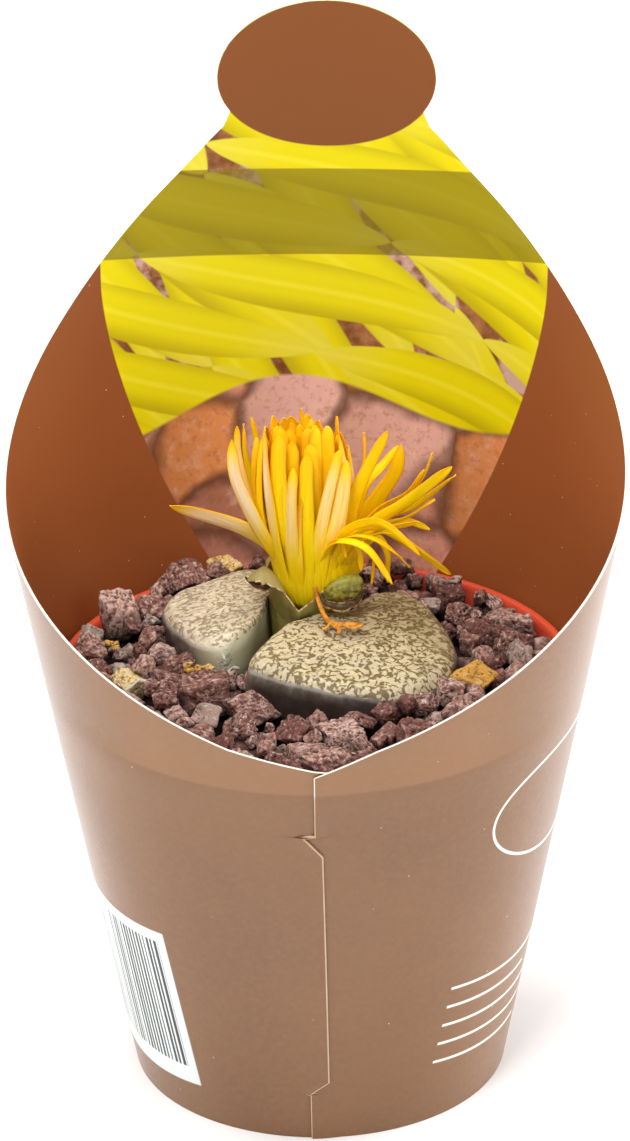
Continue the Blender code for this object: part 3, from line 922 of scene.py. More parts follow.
# Height, and how far out a leaf's outline stands there as a share of its full spread.
LEAF_LEVELS = [(33.6, 0.42), (38.0, 0.62), (42.0, 0.80), (46.0, 0.94), (50.0, 0.985), (52.6, 1.0)]
LEAF_CROWN = 59.0
LEAF_DROP = 1 / 167
RIM_INSET = 0.12
RIM_DROP = 2.5
RIM_ROWS = 16
TOP_ROWS = 16
CUP_SADDLE = 1.0
# Outlines seen from above.
RIGHT_LEAF = [
    (-8.3, -7.4), (-5.4, -1.3), (-1.6, 3.3), (2.9, 7.6), (6.4, 11.9), (10.3, 13.9), (14.3, 9.9),
    (17.5, -0.7), (15.9, -9.4), (9.6, -14.2), (0.6, -12.8), (-5.6, -10.2),
]
LEFT_LEAF = [
    (-12.9, -2.7), (-10.4, -2.2), (-8.1, 1.0), (-6.6, 5.6), (-6.1, 10.2), (-3.8, 13.4), (-0.4, 14.3),
    (2.4, 15.4), (1.2, 18.8), (-4.6, 21.4), (-10.4, 22.0), (-17.2, 18.0), (-19.9, 12.0), (-18.6, 5.0),
    (-15.2, -0.9),
]


def leaf_top(point):
    """Height of the pair of leaves' common gentle dome over a plan point."""
    return LEAF_CROWN - LEAF_DROP * (point - PLANT_CENTRE).length_squared


def leaf_rings(outline, middle):
    """(rings of points from the foot to the top's middle, how much each ring belongs to the top)."""
    rings, crowns = [], []
    for height, share in spline(LEAF_LEVELS, 4):
        rings.append([(*PLANT_CENTRE.lerp(p, share), height) for p in outline])
        crowns.append(0.0)
    for i in range(RIM_ROWS + 1):
        turn = math.pi / 2 * i / RIM_ROWS
        share = 1 - RIM_INSET * (1 - math.cos(turn))
        drop = RIM_DROP * (1 - math.sin(turn))
        inset = [middle.lerp(p, share) for p in outline]
        rings.append([(*p, leaf_top(p) - drop) for p in inset])
        crowns.append(smooth_step(0.25, 0.62, i / RIM_ROWS))
    for i in range(1, TOP_ROWS):
        share = (1 - RIM_INSET) * (1 - i / TOP_ROWS)
        inset = [middle.lerp(p, share) for p in outline]
        rings.append([(*p, leaf_top(p)) for p in inset])
        crowns.append(1.0)
    return rings, crowns


def make_leaf(name, node, outline, finish):
    """A leaf from its plan outline: tapered below, rounded at the rim and gently domed on top."""
    outline = spline(outline, 10, closed=True)
    middle = sum(outline, Vector((0.0, 0.0))) / len(outline)
    rings, crowns = leaf_rings(outline, middle)
    points, faces = loft(rings)
    crown = [share for share in crowns for _ in outline] + [0.0, 1.0]
    for i, point in enumerate(points):
        where = point * 0.16
        swell = noise.noise(where) * 0.45 + noise.noise(where * 2.7) * 0.16
        point.z += swell * crown[i]
        # The cup lies in a saddle between the leaves.
        saddle = CUP_SADDLE * bell(point.x, 4.2, 3.0) * bell(point.y, 8.2, 3.0)
        point.z -= saddle * smooth_step(50, 56, point.z)
        if crown[i] < 1 and point.z > 46:
            away = (point.to_2d() - middle).normalized()
            dent = noise.noise(where * 1.9 + Vector((5, 0, 0))) * 0.35 * (1 - crown[i])
            point.x += away.x * dent
            point.y += away.y * dent
    inward = Vector((0.71, -0.71)) * (1 if node == "left_leaf" else -1)
    fissure_side = [smooth_step(0.1, 0.7, (p.to_2d() - middle).normalized().dot(inward)) for p in points]
    painted = {"crown": crown, "inner": fissure_side}
    return make_piece(name, points, faces, [finish], [node], painted)


LEAF_OLIVE = srgb(146, 130, 84)
LEAF_SHADE_AND_DARK_SPOTS = srgb(38, 25, 20)


def mottled_skin():
    """Cream skin with a net of short olive-brown channels on top, and waxy grey-green sides."""
    finish = Finish("mottled_skin", roughness=0.5, specular_ior_level=0.4)
    crown = finish.painted("crown")
    x, y, z = finish.axes()
    drift = finish.noise(1.5, output=1)
    bent = {0: drift, 1: (1.5, 1.5, 0.2), 2: finish.place()}
    flow = finish.node("VectorMath", {"operation": "MULTIPLY_ADD"}, bent)
    cloud = finish.noise(6.5, 3.0, 0.55)
    far_side = (y * 0.085 + x * 0.075 - 0.05 + (cloud - 0.5) * 2.2).ramp(0.0, 1.5)
    # The channels: short wriggling strokes with dots between them.
    worm = finish.noise(1.12, 1.0, 0.5, finish.stretched((1.0, 1.0, 0.5), flow))
    strokes = (0.066 + far_side * 0.03 - abs(worm - 0.5)).ramp(-0.026, 0.026)
    strokes = strokes * finish.noise(0.66, 1.0, 0.5).ramp(0.37, 0.50).most(far_side * 0.5)
    dots = finish.cells(0.80, flow).ramp(0.32, 0.16) * finish.noise(1.3, 2.0).ramp(0.42, 0.50)
    strokes = strokes.most(dots)
    ground = finish.noise(0.5, 3.0, 0.6)
    cream = finish.mix(cloud.ramp(0.35, 0.70), srgb(214, 197, 158), srgb(199, 187, 158))
    cream = finish.mix(x.ramp(-4.0, -12.0) * 0.7, cream, srgb(240, 226, 202))
    cream = finish.mix(ground.ramp(0.35, 0.65) * 0.35, cream, LEAF_OLIVE)
    cream = finish.mix(far_side * 0.42, cream, LEAF_OLIVE)
    ink = finish.mix(cloud, srgb(86, 68, 32), srgb(116, 94, 54))
    ink = finish.mix(x.ramp(-3.0, -9.0) * 0.30, ink, cream)
    top = finish.mix(strokes * 0.92, cream, ink)
    # The sides: a painted highlight under the rim, painted shade down towards the gravel, and bright down in
    # the fissure with painted shade deep in towards the cup.
    wax = finish.noise(1.6, 4.0, 0.6)
    side = finish.mix(wax.ramp(0.3, 0.75), srgb(98, 86, 76), srgb(130, 119, 108))
    side = finish.mix((crown + wax * 0.2).ramp(0.08, 0.40) * 0.5, side, srgb(210, 206, 190))
    side = finish.mix((z + wax * 1.2 - x * 0.02).ramp(58.2, 55.0) * 0.88, side, LEAF_SHADE_AND_DARK_SPOTS)
    # Painted shade deeper in the fissure, towards the cup.
    depth = (y - z * 0.5 + wax).ramp(-27.5, -24.0) * 0.36
    wall = finish.mix(depth, srgb(208, 203, 170), srgb(70, 64, 36))
    side = finish.mix(finish.painted("inner") * (z + wax * 1.2).ramp(52.0, 55.0) * 0.9, side, wall)
    # A torn patch of dry skin at the left leaf's front corner.
    torn = 1 - (((x + 11.0) * 0.5) ** 2 + ((y + 2.4) * 0.6) ** 2 + ((z - 55.4) * 0.42) ** 2) ** 0.5
    flaky = finish.noise(0.36, 2.0, 0.6)
    # Dark spots in the torn skin.
    side = finish.mix((torn + 0.5 - flaky).ramp(0.5, 0.8) * 0.4, side, LEAF_SHADE_AND_DARK_SPOTS)
    torn = (torn * 0.8 + (flaky - 0.5) * 2.2).ramp(0.35, 0.75)
    side = finish.mix(torn * 0.6, side, srgb(228, 230, 218))
    edge = (crown + (finish.noise(0.7, 2.0) - 0.5) * 0.9).ramp(0.38, 0.80)
    finish.colour(finish.mix(edge, side, top))
    finish.set("Roughness", wax * 0.16 + 0.40)
    finish.scatter(0.06, (0.0016, 0.0012, 0.0006))
    finish.bump((1 - strokes * edge) * 0.6 + wax * 0.5 + torn * 0.8, 0.09)
    return finish.material


# ---------------------------------------------------------------- the gravel between the stones

GRAVEL_REACH = RIM_RADIUS - 1.9
GRAVEL_FLOOR = BED_FOOT + 3.2
GRAVEL_TOP = 55.0
HEAP = 1.7
# The fissure between the leaves runs through the flower, FISSURE_TURN degrees from +X towards +Y.
# Its walls face the same angle measured from -Y towards +X.
FISSURE_TURN = 49.0
FISSURE_WAY = Vector((math.cos(math.radians(FISSURE_TURN)), math.sin(math.radians(FISSURE_TURN))))
FISSURE_HALF_WIDTH = 4.0
FISSURE_FROM, FISSURE_TO = -11.5, 9.0
GRAIN_RADII = (0.9, 1.3, 1.6, 1.9, 2.1, 2.3, 2.6, 2.9)
MOST_GRAINS = 420
MOST_MISSES = 400
DROPS_EACH = 12
# Share of each colour among the loose grains. A large one is always dark.
GRAIN_SHARES = {"lava": 0.935, "ochre": 0.01, "pale": 0.055}
LARGE_GRAIN = 2.0
GRAINS_PER_PIECE = 50


def signed_gap(point, outline):
    """Distance from a plan point to a closed outline, negative inside it."""
    a = np.array([p[:] for p in outline])
    b = np.roll(a, -1, axis=0)
    p = np.array(point)
    run = b - a
    t = np.clip(((p - a) * run).sum(1) / (run**2).sum(1), 0, 1)
    near = np.hypot(*(a + run * t[:, None] - p).T).min()
    crosses = (a[:, 1] > p[1]) != (b[:, 1] > p[1])
    level = a[:, 0] + (p[1] - a[:, 1]) * run[:, 0] / np.where(run[:, 1] == 0, 1e-9, run[:, 1])
    inside = np.count_nonzero(crosses & (p[0] < level)) % 2
    return -near if inside else near


# Grains that stand out or are heaped against a leaf: kind, place and size.
PLACED_GRAINS = [
    ("pale", (-21.4, 10.2, 54.7), 2.8),
    ("pale", (12.0, -17.0, 53.8), 2.0),
    ("pale", (7.9, -23.8, 52.6), 1.8),
    ("pale", (-24.4, 1.2, 54.4), 2.2),
    ("lava", (9.4, -15.6, 54.6), 4.2),
    ("lava", (13.6, -13.6, 55.2), 4.6),
    ("lava", (17.2, -10.2, 55.2), 4.4),
    ("lava", (5.0, -15.6, 53.6), 3.4),
    ("lava", (19.0, -4.6, 54.2), 3.4),
]
# Heaps of ochre crumbs: middle, half spread, number.
CRUMB_HEAPS = [((-14.0, -4.2, 55.0), (1.7, 0.5, 0.5), 17), ((-25.8, 3.5, 54.5), (0.8, 0.6, 0.3), 5)]


def crumb_places():
    """Place and size of each ochre crumb."""
    luck = random.Random(41)
    found = []
    for middle, spread, count in CRUMB_HEAPS:
        for _ in range(count):
            place = [m + s * luck.uniform(-1, 1) for m, s in zip(middle, spread)]
            found.append((place, luck.uniform(0.7, 1.5)))
    return found


def heap_at(spot):
    """The gravel rises towards the back left, and against the right leaf's front."""
    banked = 3.0 * bell(spot.x, 14.0, 7.0) * bell(spot.y, -15.0, 6.0)
    return HEAP * max(0.0, (spot.y - spot.x) / 45) + banked


def in_fissure(spot):
    """Whether a plan point lies in the fissure between the leaves, where no grain may fall."""
    way = spot - FLOWER
    beside = abs(way.cross(FISSURE_WAY))
    return beside < FISSURE_HALF_WIDTH and FISSURE_FROM < way.dot(FISSURE_WAY) < FISSURE_TO


def resting_place(radius, centres, radii, fixed, leaves, luck):
    """(height, plan point) of the lowest free rest for a grain among a few that are tried."""
    best = None
    near = np.array(centres)
    total = (np.array(radii) + radius) * 0.88
    for _ in range(DROPS_EACH):
        spot = polar(math.sqrt(luck.random()) * (GRAVEL_REACH - radius * 0.6), luck.uniform(0, 360))
        if in_fissure(spot) or min(signed_gap(spot, leaf) for leaf in leaves) < radius * 0.60:
            continue
        flat = np.hypot(near[:, 0] - spot.x, near[:, 1] - spot.y)
        if (flat[:fixed] < total[:fixed] * 0.80).any():
            continue
        over = flat < total
        rests = near[over, 2] + np.sqrt(total[over] ** 2 - flat[over] ** 2)
        height = max([GRAVEL_FLOOR + radius * 0.3 + heap_at(spot), *rests])
        if height + radius * 0.8 > GRAVEL_TOP + heap_at(spot):
            continue
        if best is None or height < best[0]:
            best = (height, spot)
    return best


def lay_gravel():
    """Drops grains one by one between the wall, the leaves and the named stones; each one comes
    to rest at the lowest place that is free near where it falls. Returns the centres and radii of
    the named stones and crumbs first, then of the grains, and how many were there before."""
    luck = random.Random(23)
    leaves = [spline(RIGHT_LEAF, 4, closed=True), spline(LEFT_LEAF, 4, closed=True)]
    there = [(middle, sum(size) / 6 * 0.82) for node, kind, middle, size in named_stones()]
    there += [(place, size * 0.4) for place, size in crumb_places()]
    there += [(place, size * 0.42) for kind, place, size in PLACED_GRAINS]
    centres = [np.array(place) for place, radius in there]
    radii = [radius for place, radius in there]
    misses = 0
    while misses < MOST_MISSES and len(centres) < len(there) + MOST_GRAINS:
        radius = luck.choice(GRAIN_RADII) * luck.uniform(0.88, 1.12)
        best = resting_place(radius, centres, radii, len(there), leaves, luck)
        if best is None:
            misses += 1
            continue
        centres.append(np.array((best[1].x, best[1].y, best[0])))
        radii.append(radius)
    return (np.array(centres), np.array(radii)), len(there)


def make_gravel(finishes, crowd, fixed):
    """The loose grains, as pieces of at most so many grains each, by colour."""
    luck = random.Random(5)
    heaps = {kind: [] for kind in GRAIN_SHARES}
    for kind, place, size in PLACED_GRAINS:
        heaps[kind].append((*stone_shape(place, (size, size * 0.9, size * 0.85), 5, luck), luck.random()))
    for centre, radius in list(zip(*crowd))[fixed:]:
        kind = luck.choices(list(GRAIN_SHARES), list(GRAIN_SHARES.values()))[0]
        if radius > LARGE_GRAIN:
            kind = "lava"
        size = [2 * radius * share for share in (luck.uniform(1.05, 1.5), luck.uniform(0.9, 1.15), 1.0)]
        # Only grains near the top, which show, are made finely.
        detail = 3
        if centre[2] > GRAVEL_TOP - 3.6:
            detail = 5 if radius > 1.8 else 4
        body, *rest = stone_shape((0, 0, 0), size, detail, luck)
        spin = Matrix.Rotation(luck.uniform(0, 6.28), 3, "Z") @ Matrix.Rotation(luck.gauss(0, 0.5), 3, "Y")
        heaps[kind].append((body @ np.array(spin).T + centre, *rest, luck.random()))
    for kind, stones in heaps.items():
        for first in range(0, len(stones), GRAINS_PER_PIECE):
            name = f"{kind}_grains_{first // GRAINS_PER_PIECE + 1}"
            heap = stones[first:first + GRAINS_PER_PIECE]
            join_stones(name, heap, finishes[kind], crowd)


def make_crumbs(finish, crowd):
    """The heaps of ochre crumbs, as one piece."""
    luck = random.Random(41)
    stones = []
    for place, size in crumb_places():
        shape = stone_shape(place, (size, size * 0.8, size * 0.7), 3, luck)
        stones.append((*shape, luck.random() * 0.5))
    return join_stones("ochre_crumbs", stones, finish, crowd)


# ---------------------------------------------------------------- the calyx

def green_flesh():
    """Mottled green flesh: darker on the bud with a painted highlight on its top, paler on the flat lobes,
    rusty where it is worn, and painted shade on the torn margins.
    """
    finish = Finish("calyx_flesh", roughness=0.45, specular_ior_level=0.45)
    z = finish.axes()[2]
    worn = finish.painted("worn")
    blotch = finish.noise(1.5, 4.0, 0.6)
    lump = finish.painted("bud")
    colour = finish.mix(blotch.ramp(0.3, 0.7), srgb(134, 122, 50), srgb(168, 158, 88))
    colour = finish.mix((z - CUP_TOP + 3.0).ramp(0.0, 4.0) * 0.4, colour, srgb(150, 138, 60))
    rough = finish.noise(0.6, 3.0, 0.6)
    dark = finish.mix(rough.ramp(0.38, 0.62), srgb(92, 88, 26), srgb(158, 152, 56))
    # The bud's top gets a painted highlight.
    dark = finish.mix((z - 61.6 + rough).ramp(1.2, 3.2) * 0.5, dark, srgb(186, 186, 84))
    colour = finish.mix(lump, colour, dark)
    leafy = finish.painted("leafy") * (1 - rough.ramp(0.66, 0.58) * 0.3)
    colour = finish.mix(leafy, colour, srgb(186, 174, 118))
    # Painted shade over the torn margins.
    colour = finish.mix(finish.painted("shade"), colour, srgb(82, 62, 24))
    rusty = finish.mix(rough.ramp(0.4, 0.6), srgb(156, 104, 54), srgb(224, 200, 158))
    colour = finish.mix((worn + (blotch - 0.5) * 0.5).ramp(0.45, 0.75), colour, rusty)
    finish.colour(colour)
    finish.scatter(0.15, (0.001, 0.0012, 0.0004))
    finish.bump(blotch * 0.6 + rough * (0.3 + lump), 0.14)
    return finish.material


# Radius and height of the cup's wall outside, then over the rim and down inside.
CUP_OUTSIDE = [(3.6, 50.6), (3.8, 53.0), (4.1, 56.0), (4.65, 58.8), (5.15, 61.0), (5.5, 62.6)]
CUP_INSIDE = [(5.52, 62.75), (5.44, 62.85), (5.34, 62.7), (5.0, 61.2), (4.2, 59.2), (3.2, 58.0)]
CUP_COLUMNS = 96
# The rim dips in front: direction and depth of the notch, and its half widths to left and right.
NOTCH_TURN = -11.0
NOTCH_DEPTH = 3.3
NOTCH_LEFT, NOTCH_RIGHT = 36.0, 42.0


def around_cup(radius, degrees, height):
    """A point of the cup's wall: its foot fills the fissure, its rim is notched in front."""
    share = smooth_step(55.0, 62.6, height)
    low = 1 - share
    wide = 1 + 0.13 * math.cos(math.radians(2 * (degrees - FISSURE_TURN))) * low
    off = (degrees - NOTCH_TURN + 180) % 360 - 180
    reach = NOTCH_LEFT if off < 0 else NOTCH_RIGHT
    notch = NOTCH_DEPTH * max(0.0, 1 - abs(off) / reach) ** 1.15
    ripple = 0.10 * math.sin(math.radians(degrees * 5 + 40)) + 0.05 * math.sin(math.radians(degrees * 17))
    spot = polar(radius * wide + ripple * share, degrees, FLOWER + Vector((-0.9, 0.8)) * low)
    return (*spot, height - notch * share)


def make_cup(finish):
    """The hollow cup of the calyx, worn at its rim."""
    profile = spline(CUP_OUTSIDE, 6) + CUP_INSIDE
    angles = [360 * i / CUP_COLUMNS for i in range(CUP_COLUMNS)]
    points, faces = loft([[around_cup(r, degrees, z) for degrees in angles] for r, z in profile])
    worn = [smooth_step(62.3, 62.8, z) for r, z in profile for _ in angles] + [0.0, 0.0]
    return make_piece("cup_flesh", points, faces, [finish], ["calyx_cup"], {"worn": worn})


# A calyx lobe's midline, from the cup's rim outwards.
LOBES = {
    "sepal_left": [
        (-4.3, 6.4, 60.6), (-5.2, 6.0, 62.7), (-6.6, 5.9, 63.6), (-7.8, 6.0, 63.3), (-8.8, 6.1, 62.5),
    ],
    "sepal_right": [
        (1.0, 3.4, 61.5), (2.2, 3.3, 62.3), (3.4, 3.4, 62.7), (4.6, 3.8, 62.9), (5.6, 4.3, 62.7),
    ],
    "sepal_back_right": [(3.0, 11.4, 60.6), (3.9, 12.2, 62.0), (4.8, 12.8, 62.4), (5.4, 13.2, 61.9)],
    "sepal_back": [(-1.2, 13.4, 60.4), (-1.1, 14.3, 62.0), (-1.0, 15.0, 62.6), (-0.9, 15.7, 62.2)],
    "sepal_back_left": [(-4.6, 12.0, 60.4), (-5.2, 12.7, 61.8), (-5.9, 13.3, 62.3), (-6.5, 13.7, 61.8)],
}
# Half width, half thickness, how papery its margin is and whether it is a plump bud.
LOBE_SHAPES = {"sepal_left": (2.4, 0.30, 1.0, False), "sepal_right": (1.3, 1.6, 0.0, True)}
LOBE_SHAPE = (1.7, 0.45, 0.6, False)
LOBE_SEGMENTS = 28


def make_lobe(name, midline, shape, finish):
    """A lobe of the calyx: a flat tongue with torn edges, or a plump lumpy bud."""
    half_width, half_thick, papery, plump = shape
    centre = spline(midline, 10)
    last = len(centre) - 1
    rings, worn, leafy = [], [], []
    for i, point in enumerate(centre):
        t = i / last
        along = (centre[min(i + 1, last)] - centre[max(i - 1, 0)]).normalized()
        up = Vector((0, 0, 1))
        up = (up - along * up.dot(along)).normalized()
        across = along.cross(up)
        swell = max(0.05, math.sin(math.pi * min(1.0, 0.2 + 0.8 * t)) ** 0.6)
        if plump:
            swell = max(0.05, (1 - abs(2 * t - 1) ** 3.2) ** 0.5) * (0.8 + 0.25 * t)
        row = []
        for k in range(LOBE_SEGMENTS):
            turn = 2 * math.pi * k / LOBE_SEGMENTS
            side, rise = math.cos(turn), math.sin(turn)
            sag = 0 if plump else -0.22 * half_width * side * side * swell
            lump = 1 + 0.22 * noise.noise(point * 0.8 + Vector((side, rise, t)) * 1.6)
            if not plump:
                lump += 0.34 * abs(side) ** 3 * noise.noise(Vector((t * 11, side * 2, 3)))
            spot = across * (side * half_width) + up * (rise * half_thick)
            row.append(point + spot * (swell * lump) + up * sag)
            worn.append(papery * (smooth_step(0.82, 1.0, abs(side)) + smooth_step(0.86, 1.0, t)))
            leafy.append(smooth_step(-0.1, 0.3, rise) * papery)
        rings.append(row)
    points, faces = loft(rings)
    bud = [float(plump)] * len(points)
    painted = {"worn": worn + [0.0, papery], "bud": bud, "leafy": leafy + [0.0, papery]}
    return make_piece(f"{name}_flesh", points, faces, [finish], [name], painted)


# Torn papery edges beside the two front lobes: midline, width and the way they face.
MARGINS = {
    "right_margin": (
        [(0.4, 3.2, 61.8), (1.2, 2.9, 60.8), (2.2, 2.7, 60.4), (3.6, 2.9, 60.5), (4.8, 3.4, 61.0),
         (5.9, 4.4, 62.1)],
        1.3, (0.1, -0.8, 0.6),
    ),
    "left_margin": (
        [(-8.9, 6.4, 62.6), (-8.0, 5.3, 62.3), (-7.0, 4.8, 62.2), (-5.9, 4.8, 62.3), (-4.9, 5.0, 62.3)],
        1.0, (-0.1, -0.9, -0.2),
    ),
}


def make_margins(finish):
    """The torn papery edges, as thin cupped strips."""
    luck = random.Random(17)
    for name, (line, width, facing) in MARGINS.items():
        line = [Vector(p) + Vector([luck.uniform(-0.15, 0.15) for _ in range(3)]) for p in spline(line, 3)]
        rows, faces, painted = strip(line, width, facing, luck, cup=0.7)
        painted["worn"] = [smooth_step(0.35, 0.70, abs(a)) for a in painted["across"]]
        # The strips carry painted shade all over.
        painted["shade"] = [1.0] * len(rows)
        thicken(make_piece(name, rows, faces, [finish], (), painted), 0.12)


# ---------------------------------------------------------------- the petals

def petal_finish():
    """Silky yellow, orange at the tip and edges; outer petals have a pink-white back, which on a few front
    petals also stands for a white glint as a painted highlight.
    """
    finish = Finish("petal_silk", roughness=0.5, specular_ior_level=0.2)
    along = finish.painted("along")
    across = finish.painted("across")
    blush = finish.painted("blush")
    warm = finish.painted("warm")
    edge = abs(across) ** 3
    threads = finish.node("CombineXYZ", None, {0: across * 1.5 + warm * 20, 1: along * 1.6, 2: warm * 9})
    vein = finish.noise(0.36, 3.0, 0.6, threads)
    colour = finish.mix(along.ramp(0.0, 0.22), srgb(226, 204, 16), srgb(255, 216, 0))
    colour = finish.mix(vein.ramp(0.46, 0.72) * 0.45, colour, srgb(255, 236, 30))
    colour = finish.mix(vein.ramp(0.46, 0.26) * 0.4, colour, srgb(242, 180, 2))
    tip = (along - 0.66 + (warm - 0.5) * 0.30).ramp(0.0, 0.36)
    colour = finish.mix(tip * 0.42, colour, srgb(255, 180, 4))
    colour = finish.mix(edge * along.ramp(0.2, 1.0) * 0.6, colour, srgb(230, 126, 6))
    pale = finish.mix(vein.ramp(0.3, 0.7), srgb(250, 206, 166), srgb(255, 234, 208))
    # The pale back; on a few front petals it is a painted highlight for a white glint.
    pale_backs_and_glints = blush * (1 - abs(across) ** 3) * vein.ramp(0.02, 0.42)
    colour = finish.mix(pale_backs_and_glints, colour, pale)
    finish.colour(colour)
    finish.scatter(0.25, (0.0012, 0.0008, 0.0002))
    finish.bump(vein, 0.04)
    return finish.material


# Shares of a blade's length at which it has a row of points; they crowd together at the tip.
BLADE_STEPS = [i / 26 for i in range(24)] + [0.92, 0.945, 0.965, 0.98, 0.99, 0.996, 1.0]
BLADE_COLUMNS = 9


def strip(points, width, outward, luck, cup=0.22, blush=0.0, taper=1.0, turning=0.5, ogive=2.2, foot=0.6):
    """A petal blade with a blunt end along a midline, its edges curled towards the flower's axis.
    foot and taper are its width at the foot and the tip as shares of its full width, and a larger
    ogive makes the end more pointed."""
    curve = np.array([tuple(p) for p in spline(points, 8)])
    lengths = np.concatenate(([0.0], np.cumsum(np.linalg.norm(np.diff(curve, axis=0), axis=1))))
    whole = lengths[-1]
    midline = []
    for t in BLADE_STEPS:
        midline.append(Vector([float(np.interp(t * whole, lengths, curve[:, k])) for k in range(3)]))
    last = len(midline) - 1
    facing = Vector(outward).normalized()
    twist = luck.uniform(-turning, turning)
    phase = luck.uniform(0, 6.28)
    rows, painted = [], {"along": [], "across": [], "blush": []}
    for i, (t, point) in enumerate(zip(BLADE_STEPS, midline)):
        way = (midline[min(i + 1, last)] - midline[max(i - 1, 0)]).normalized()
        facing = (facing - way * facing.dot(way)).normalized()
        across = way.cross(facing)
        turn = twist * t
        side_way = across * math.cos(turn) + facing * math.sin(turn)
        out_way = facing * math.cos(turn) - across * math.sin(turn)
        swell = foot + (1 - foot) * smooth_step(0.0, 0.5, t)
        half = width / 2 * swell * (1 - (1 - taper) * smooth_step(0.5, 1.0, t))
        cap = min(1.0, (1 - t) * whole / (half * ogive))
        half *= max(0.06, (1 - (1 - cap) ** 1.8) ** 0.75)
        pale = blush * 0.85 * smooth_step(0.34, 0.66, t) * (1 - smooth_step(0.80, 0.97, t))
        for k in range(BLADE_COLUMNS):
            side = 2 * k / (BLADE_COLUMNS - 1) - 1
            hollow = cup * half * (side * side - 0.4)
            ripple = 0.10 * math.sin(8 * t + phase + side * 2.2) * t
            rows.append(point + side_way * (side * half) + out_way * (ripple - hollow))
            painted["along"].append(t)
            painted["across"].append(side)
            painted["blush"].append(pale)
    painted["warm"] = [luck.random()] * len(rows)
    return rows, grid_faces(len(midline), BLADE_COLUMNS), painted


def crown_centre(height):
    """The middle of the flower: the bundle of petals leans to the left as it rises."""
    return FLOWER + Vector((0.9 - 1.6 * smooth_step(64.0, 75.0, height), 0.0))


def make_petal(name, points, width, finish, luck, replaces=(), facing=None, **shape):
    """A petal that faces away from the flower's middle. One that is told which way to face leans
    out, and gets a root inside the bundle."""
    if facing is None:
        facing = (*(Vector(points[1]).to_2d() - crown_centre(points[1][2])), 0.4)
    else:
        root = crown_centre(60.0).lerp(Vector(points[0]).to_2d(), 0.82)
        points = [(*root, 60.0), *points]
    rows, faces, painted = strip(points, width, facing, luck, **shape)
    petal = make_piece(name, rows, faces, [finish], replaces, painted)
    thicken(petal, 0.11)
    return petal


# Petals that lean out, one for each of the first CAD petals: midline, width, blush of the back.
LEANING = [
    ([(-4.6, 7.0, 64.0), (-6.0, 6.4, 67.0), (-8.2, 5.7, 69.0), (-11.0, 4.6, 70.8), (-17.8, 1.6, 74.4)],
     2.5, 0.9),
    ([(-4.0, 5.9, 64.0), (-5.8, 4.6, 67.6), (-7.8, 3.7, 72.0), (-9.8, 3.2, 77.6), (-10.2, 3.6, 82.4)],
     2.0, 1.0),
    ([(-4.6, 8.7, 64.0), (-6.6, 8.4, 68.0), (-8.6, 8.0, 73.0), (-9.7, 7.8, 78.4), (-9.8, 7.8, 82.4)],
     1.2, 0.8),
    ([(1.6, 4.8, 64.0), (2.4, 3.4, 67.6), (4.2, 2.2, 71.2), (8.2, 0.9, 72.6), (12.9, -0.9, 69.2)], 1.5, 0.0),
    ([(0.4, 4.3, 64.0), (1.2, 2.9, 67.2), (2.8, 1.2, 70.0), (6.4, -0.8, 70.0), (9.6, -2.2, 65.8)], 1.5, 0.0),
    ([(3.4, 5.4, 64.0), (4.4, 4.0, 67.0), (5.6, 3.4, 69.0), (7.0, 3.0, 67.4), (6.9, 2.6, 63.6)], 1.3, 0.0),
    ([(3.8, 6.4, 64.0), (5.2, 5.4, 67.6), (7.4, 5.0, 71.0), (11.0, 4.4, 73.8), (16.7, 4.4, 78.7)], 2.0, 0.0),
    ([(4.2, 7.8, 64.0), (6.2, 7.4, 68.2), (9.4, 7.3, 71.6), (12.8, 7.2, 75.4), (14.3, 7.0, 79.4)], 1.8, 0.0),
    ([(4.4, 9.4, 64.0), (5.8, 10.0, 66.8), (7.8, 10.4, 69.2), (11.8, 10.4, 70.6), (17.1, 10.0, 75.2)],
     1.3, 0.0),
    ([(4.0, 11.2, 64.0), (5.4, 12.8, 65.8), (8.0, 13.6, 66.0), (11.8, 13.9, 63.4), (16.4, 14.2, 59.6)],
     1.0, 0.0),
    ([(3.4, 9.2, 64.0), (5.0, 9.7, 68.0), (7.4, 10.2, 71.8), (9.6, 10.5, 75.4), (10.3, 10.6, 78.9)],
     2.5, 0.0),
    ([(3.2, 6.8, 64.0), (3.8, 6.2, 69.4), (4.8, 6.2, 74.0), (6.8, 6.2, 78.6), (8.8, 6.4, 82.6)], 1.9, 0.0),
]
# Petals that lean out show their flat side to the front, and are slim and pointed.
FACING_RIGHT = (0.5, -1.0, 0.35)
FACING_LEFT = (-0.35, -1.0, 0.25)
SLIM = {"turning": 0.9, "ogive": 3.4, "foot": 0.4}
# Upright petals by ring: how many, first angle, pitch, radius as a share of the bundle's, width,
# height of the tips, and how many of the CAD petals the ring stands for.
RINGS = [
    (3, 150.0, 38.0, 1.0, 2.8, 82.8, 3),
    (6, -172.0, 37.0, 0.84, 2.7, 83.2, 6),
    (9, -168.0, 18.0, 1.0, 2.5, 82.4, 0),
    (4, 74.0, 20.0, 0.98, 2.4, 82.0, 0),
    (12, -157.0, 30.0, 0.80, 2.5, 83.4, 0),
    (11, -160.0, 33.0, 0.60, 2.3, 83.8, 0),
    (8, -140.0, 45.0, 0.38, 2.0, 83.4, 0),
    (4, -100.0, 90.0, 0.16, 1.6, 82.6, 0),
]
BUNDLE = [(59.2, 4.0), (62.2, 5.1), (66.5, 5.75), (72.0, 6.2), (78.0, 6.1), (83.0, 5.5)]
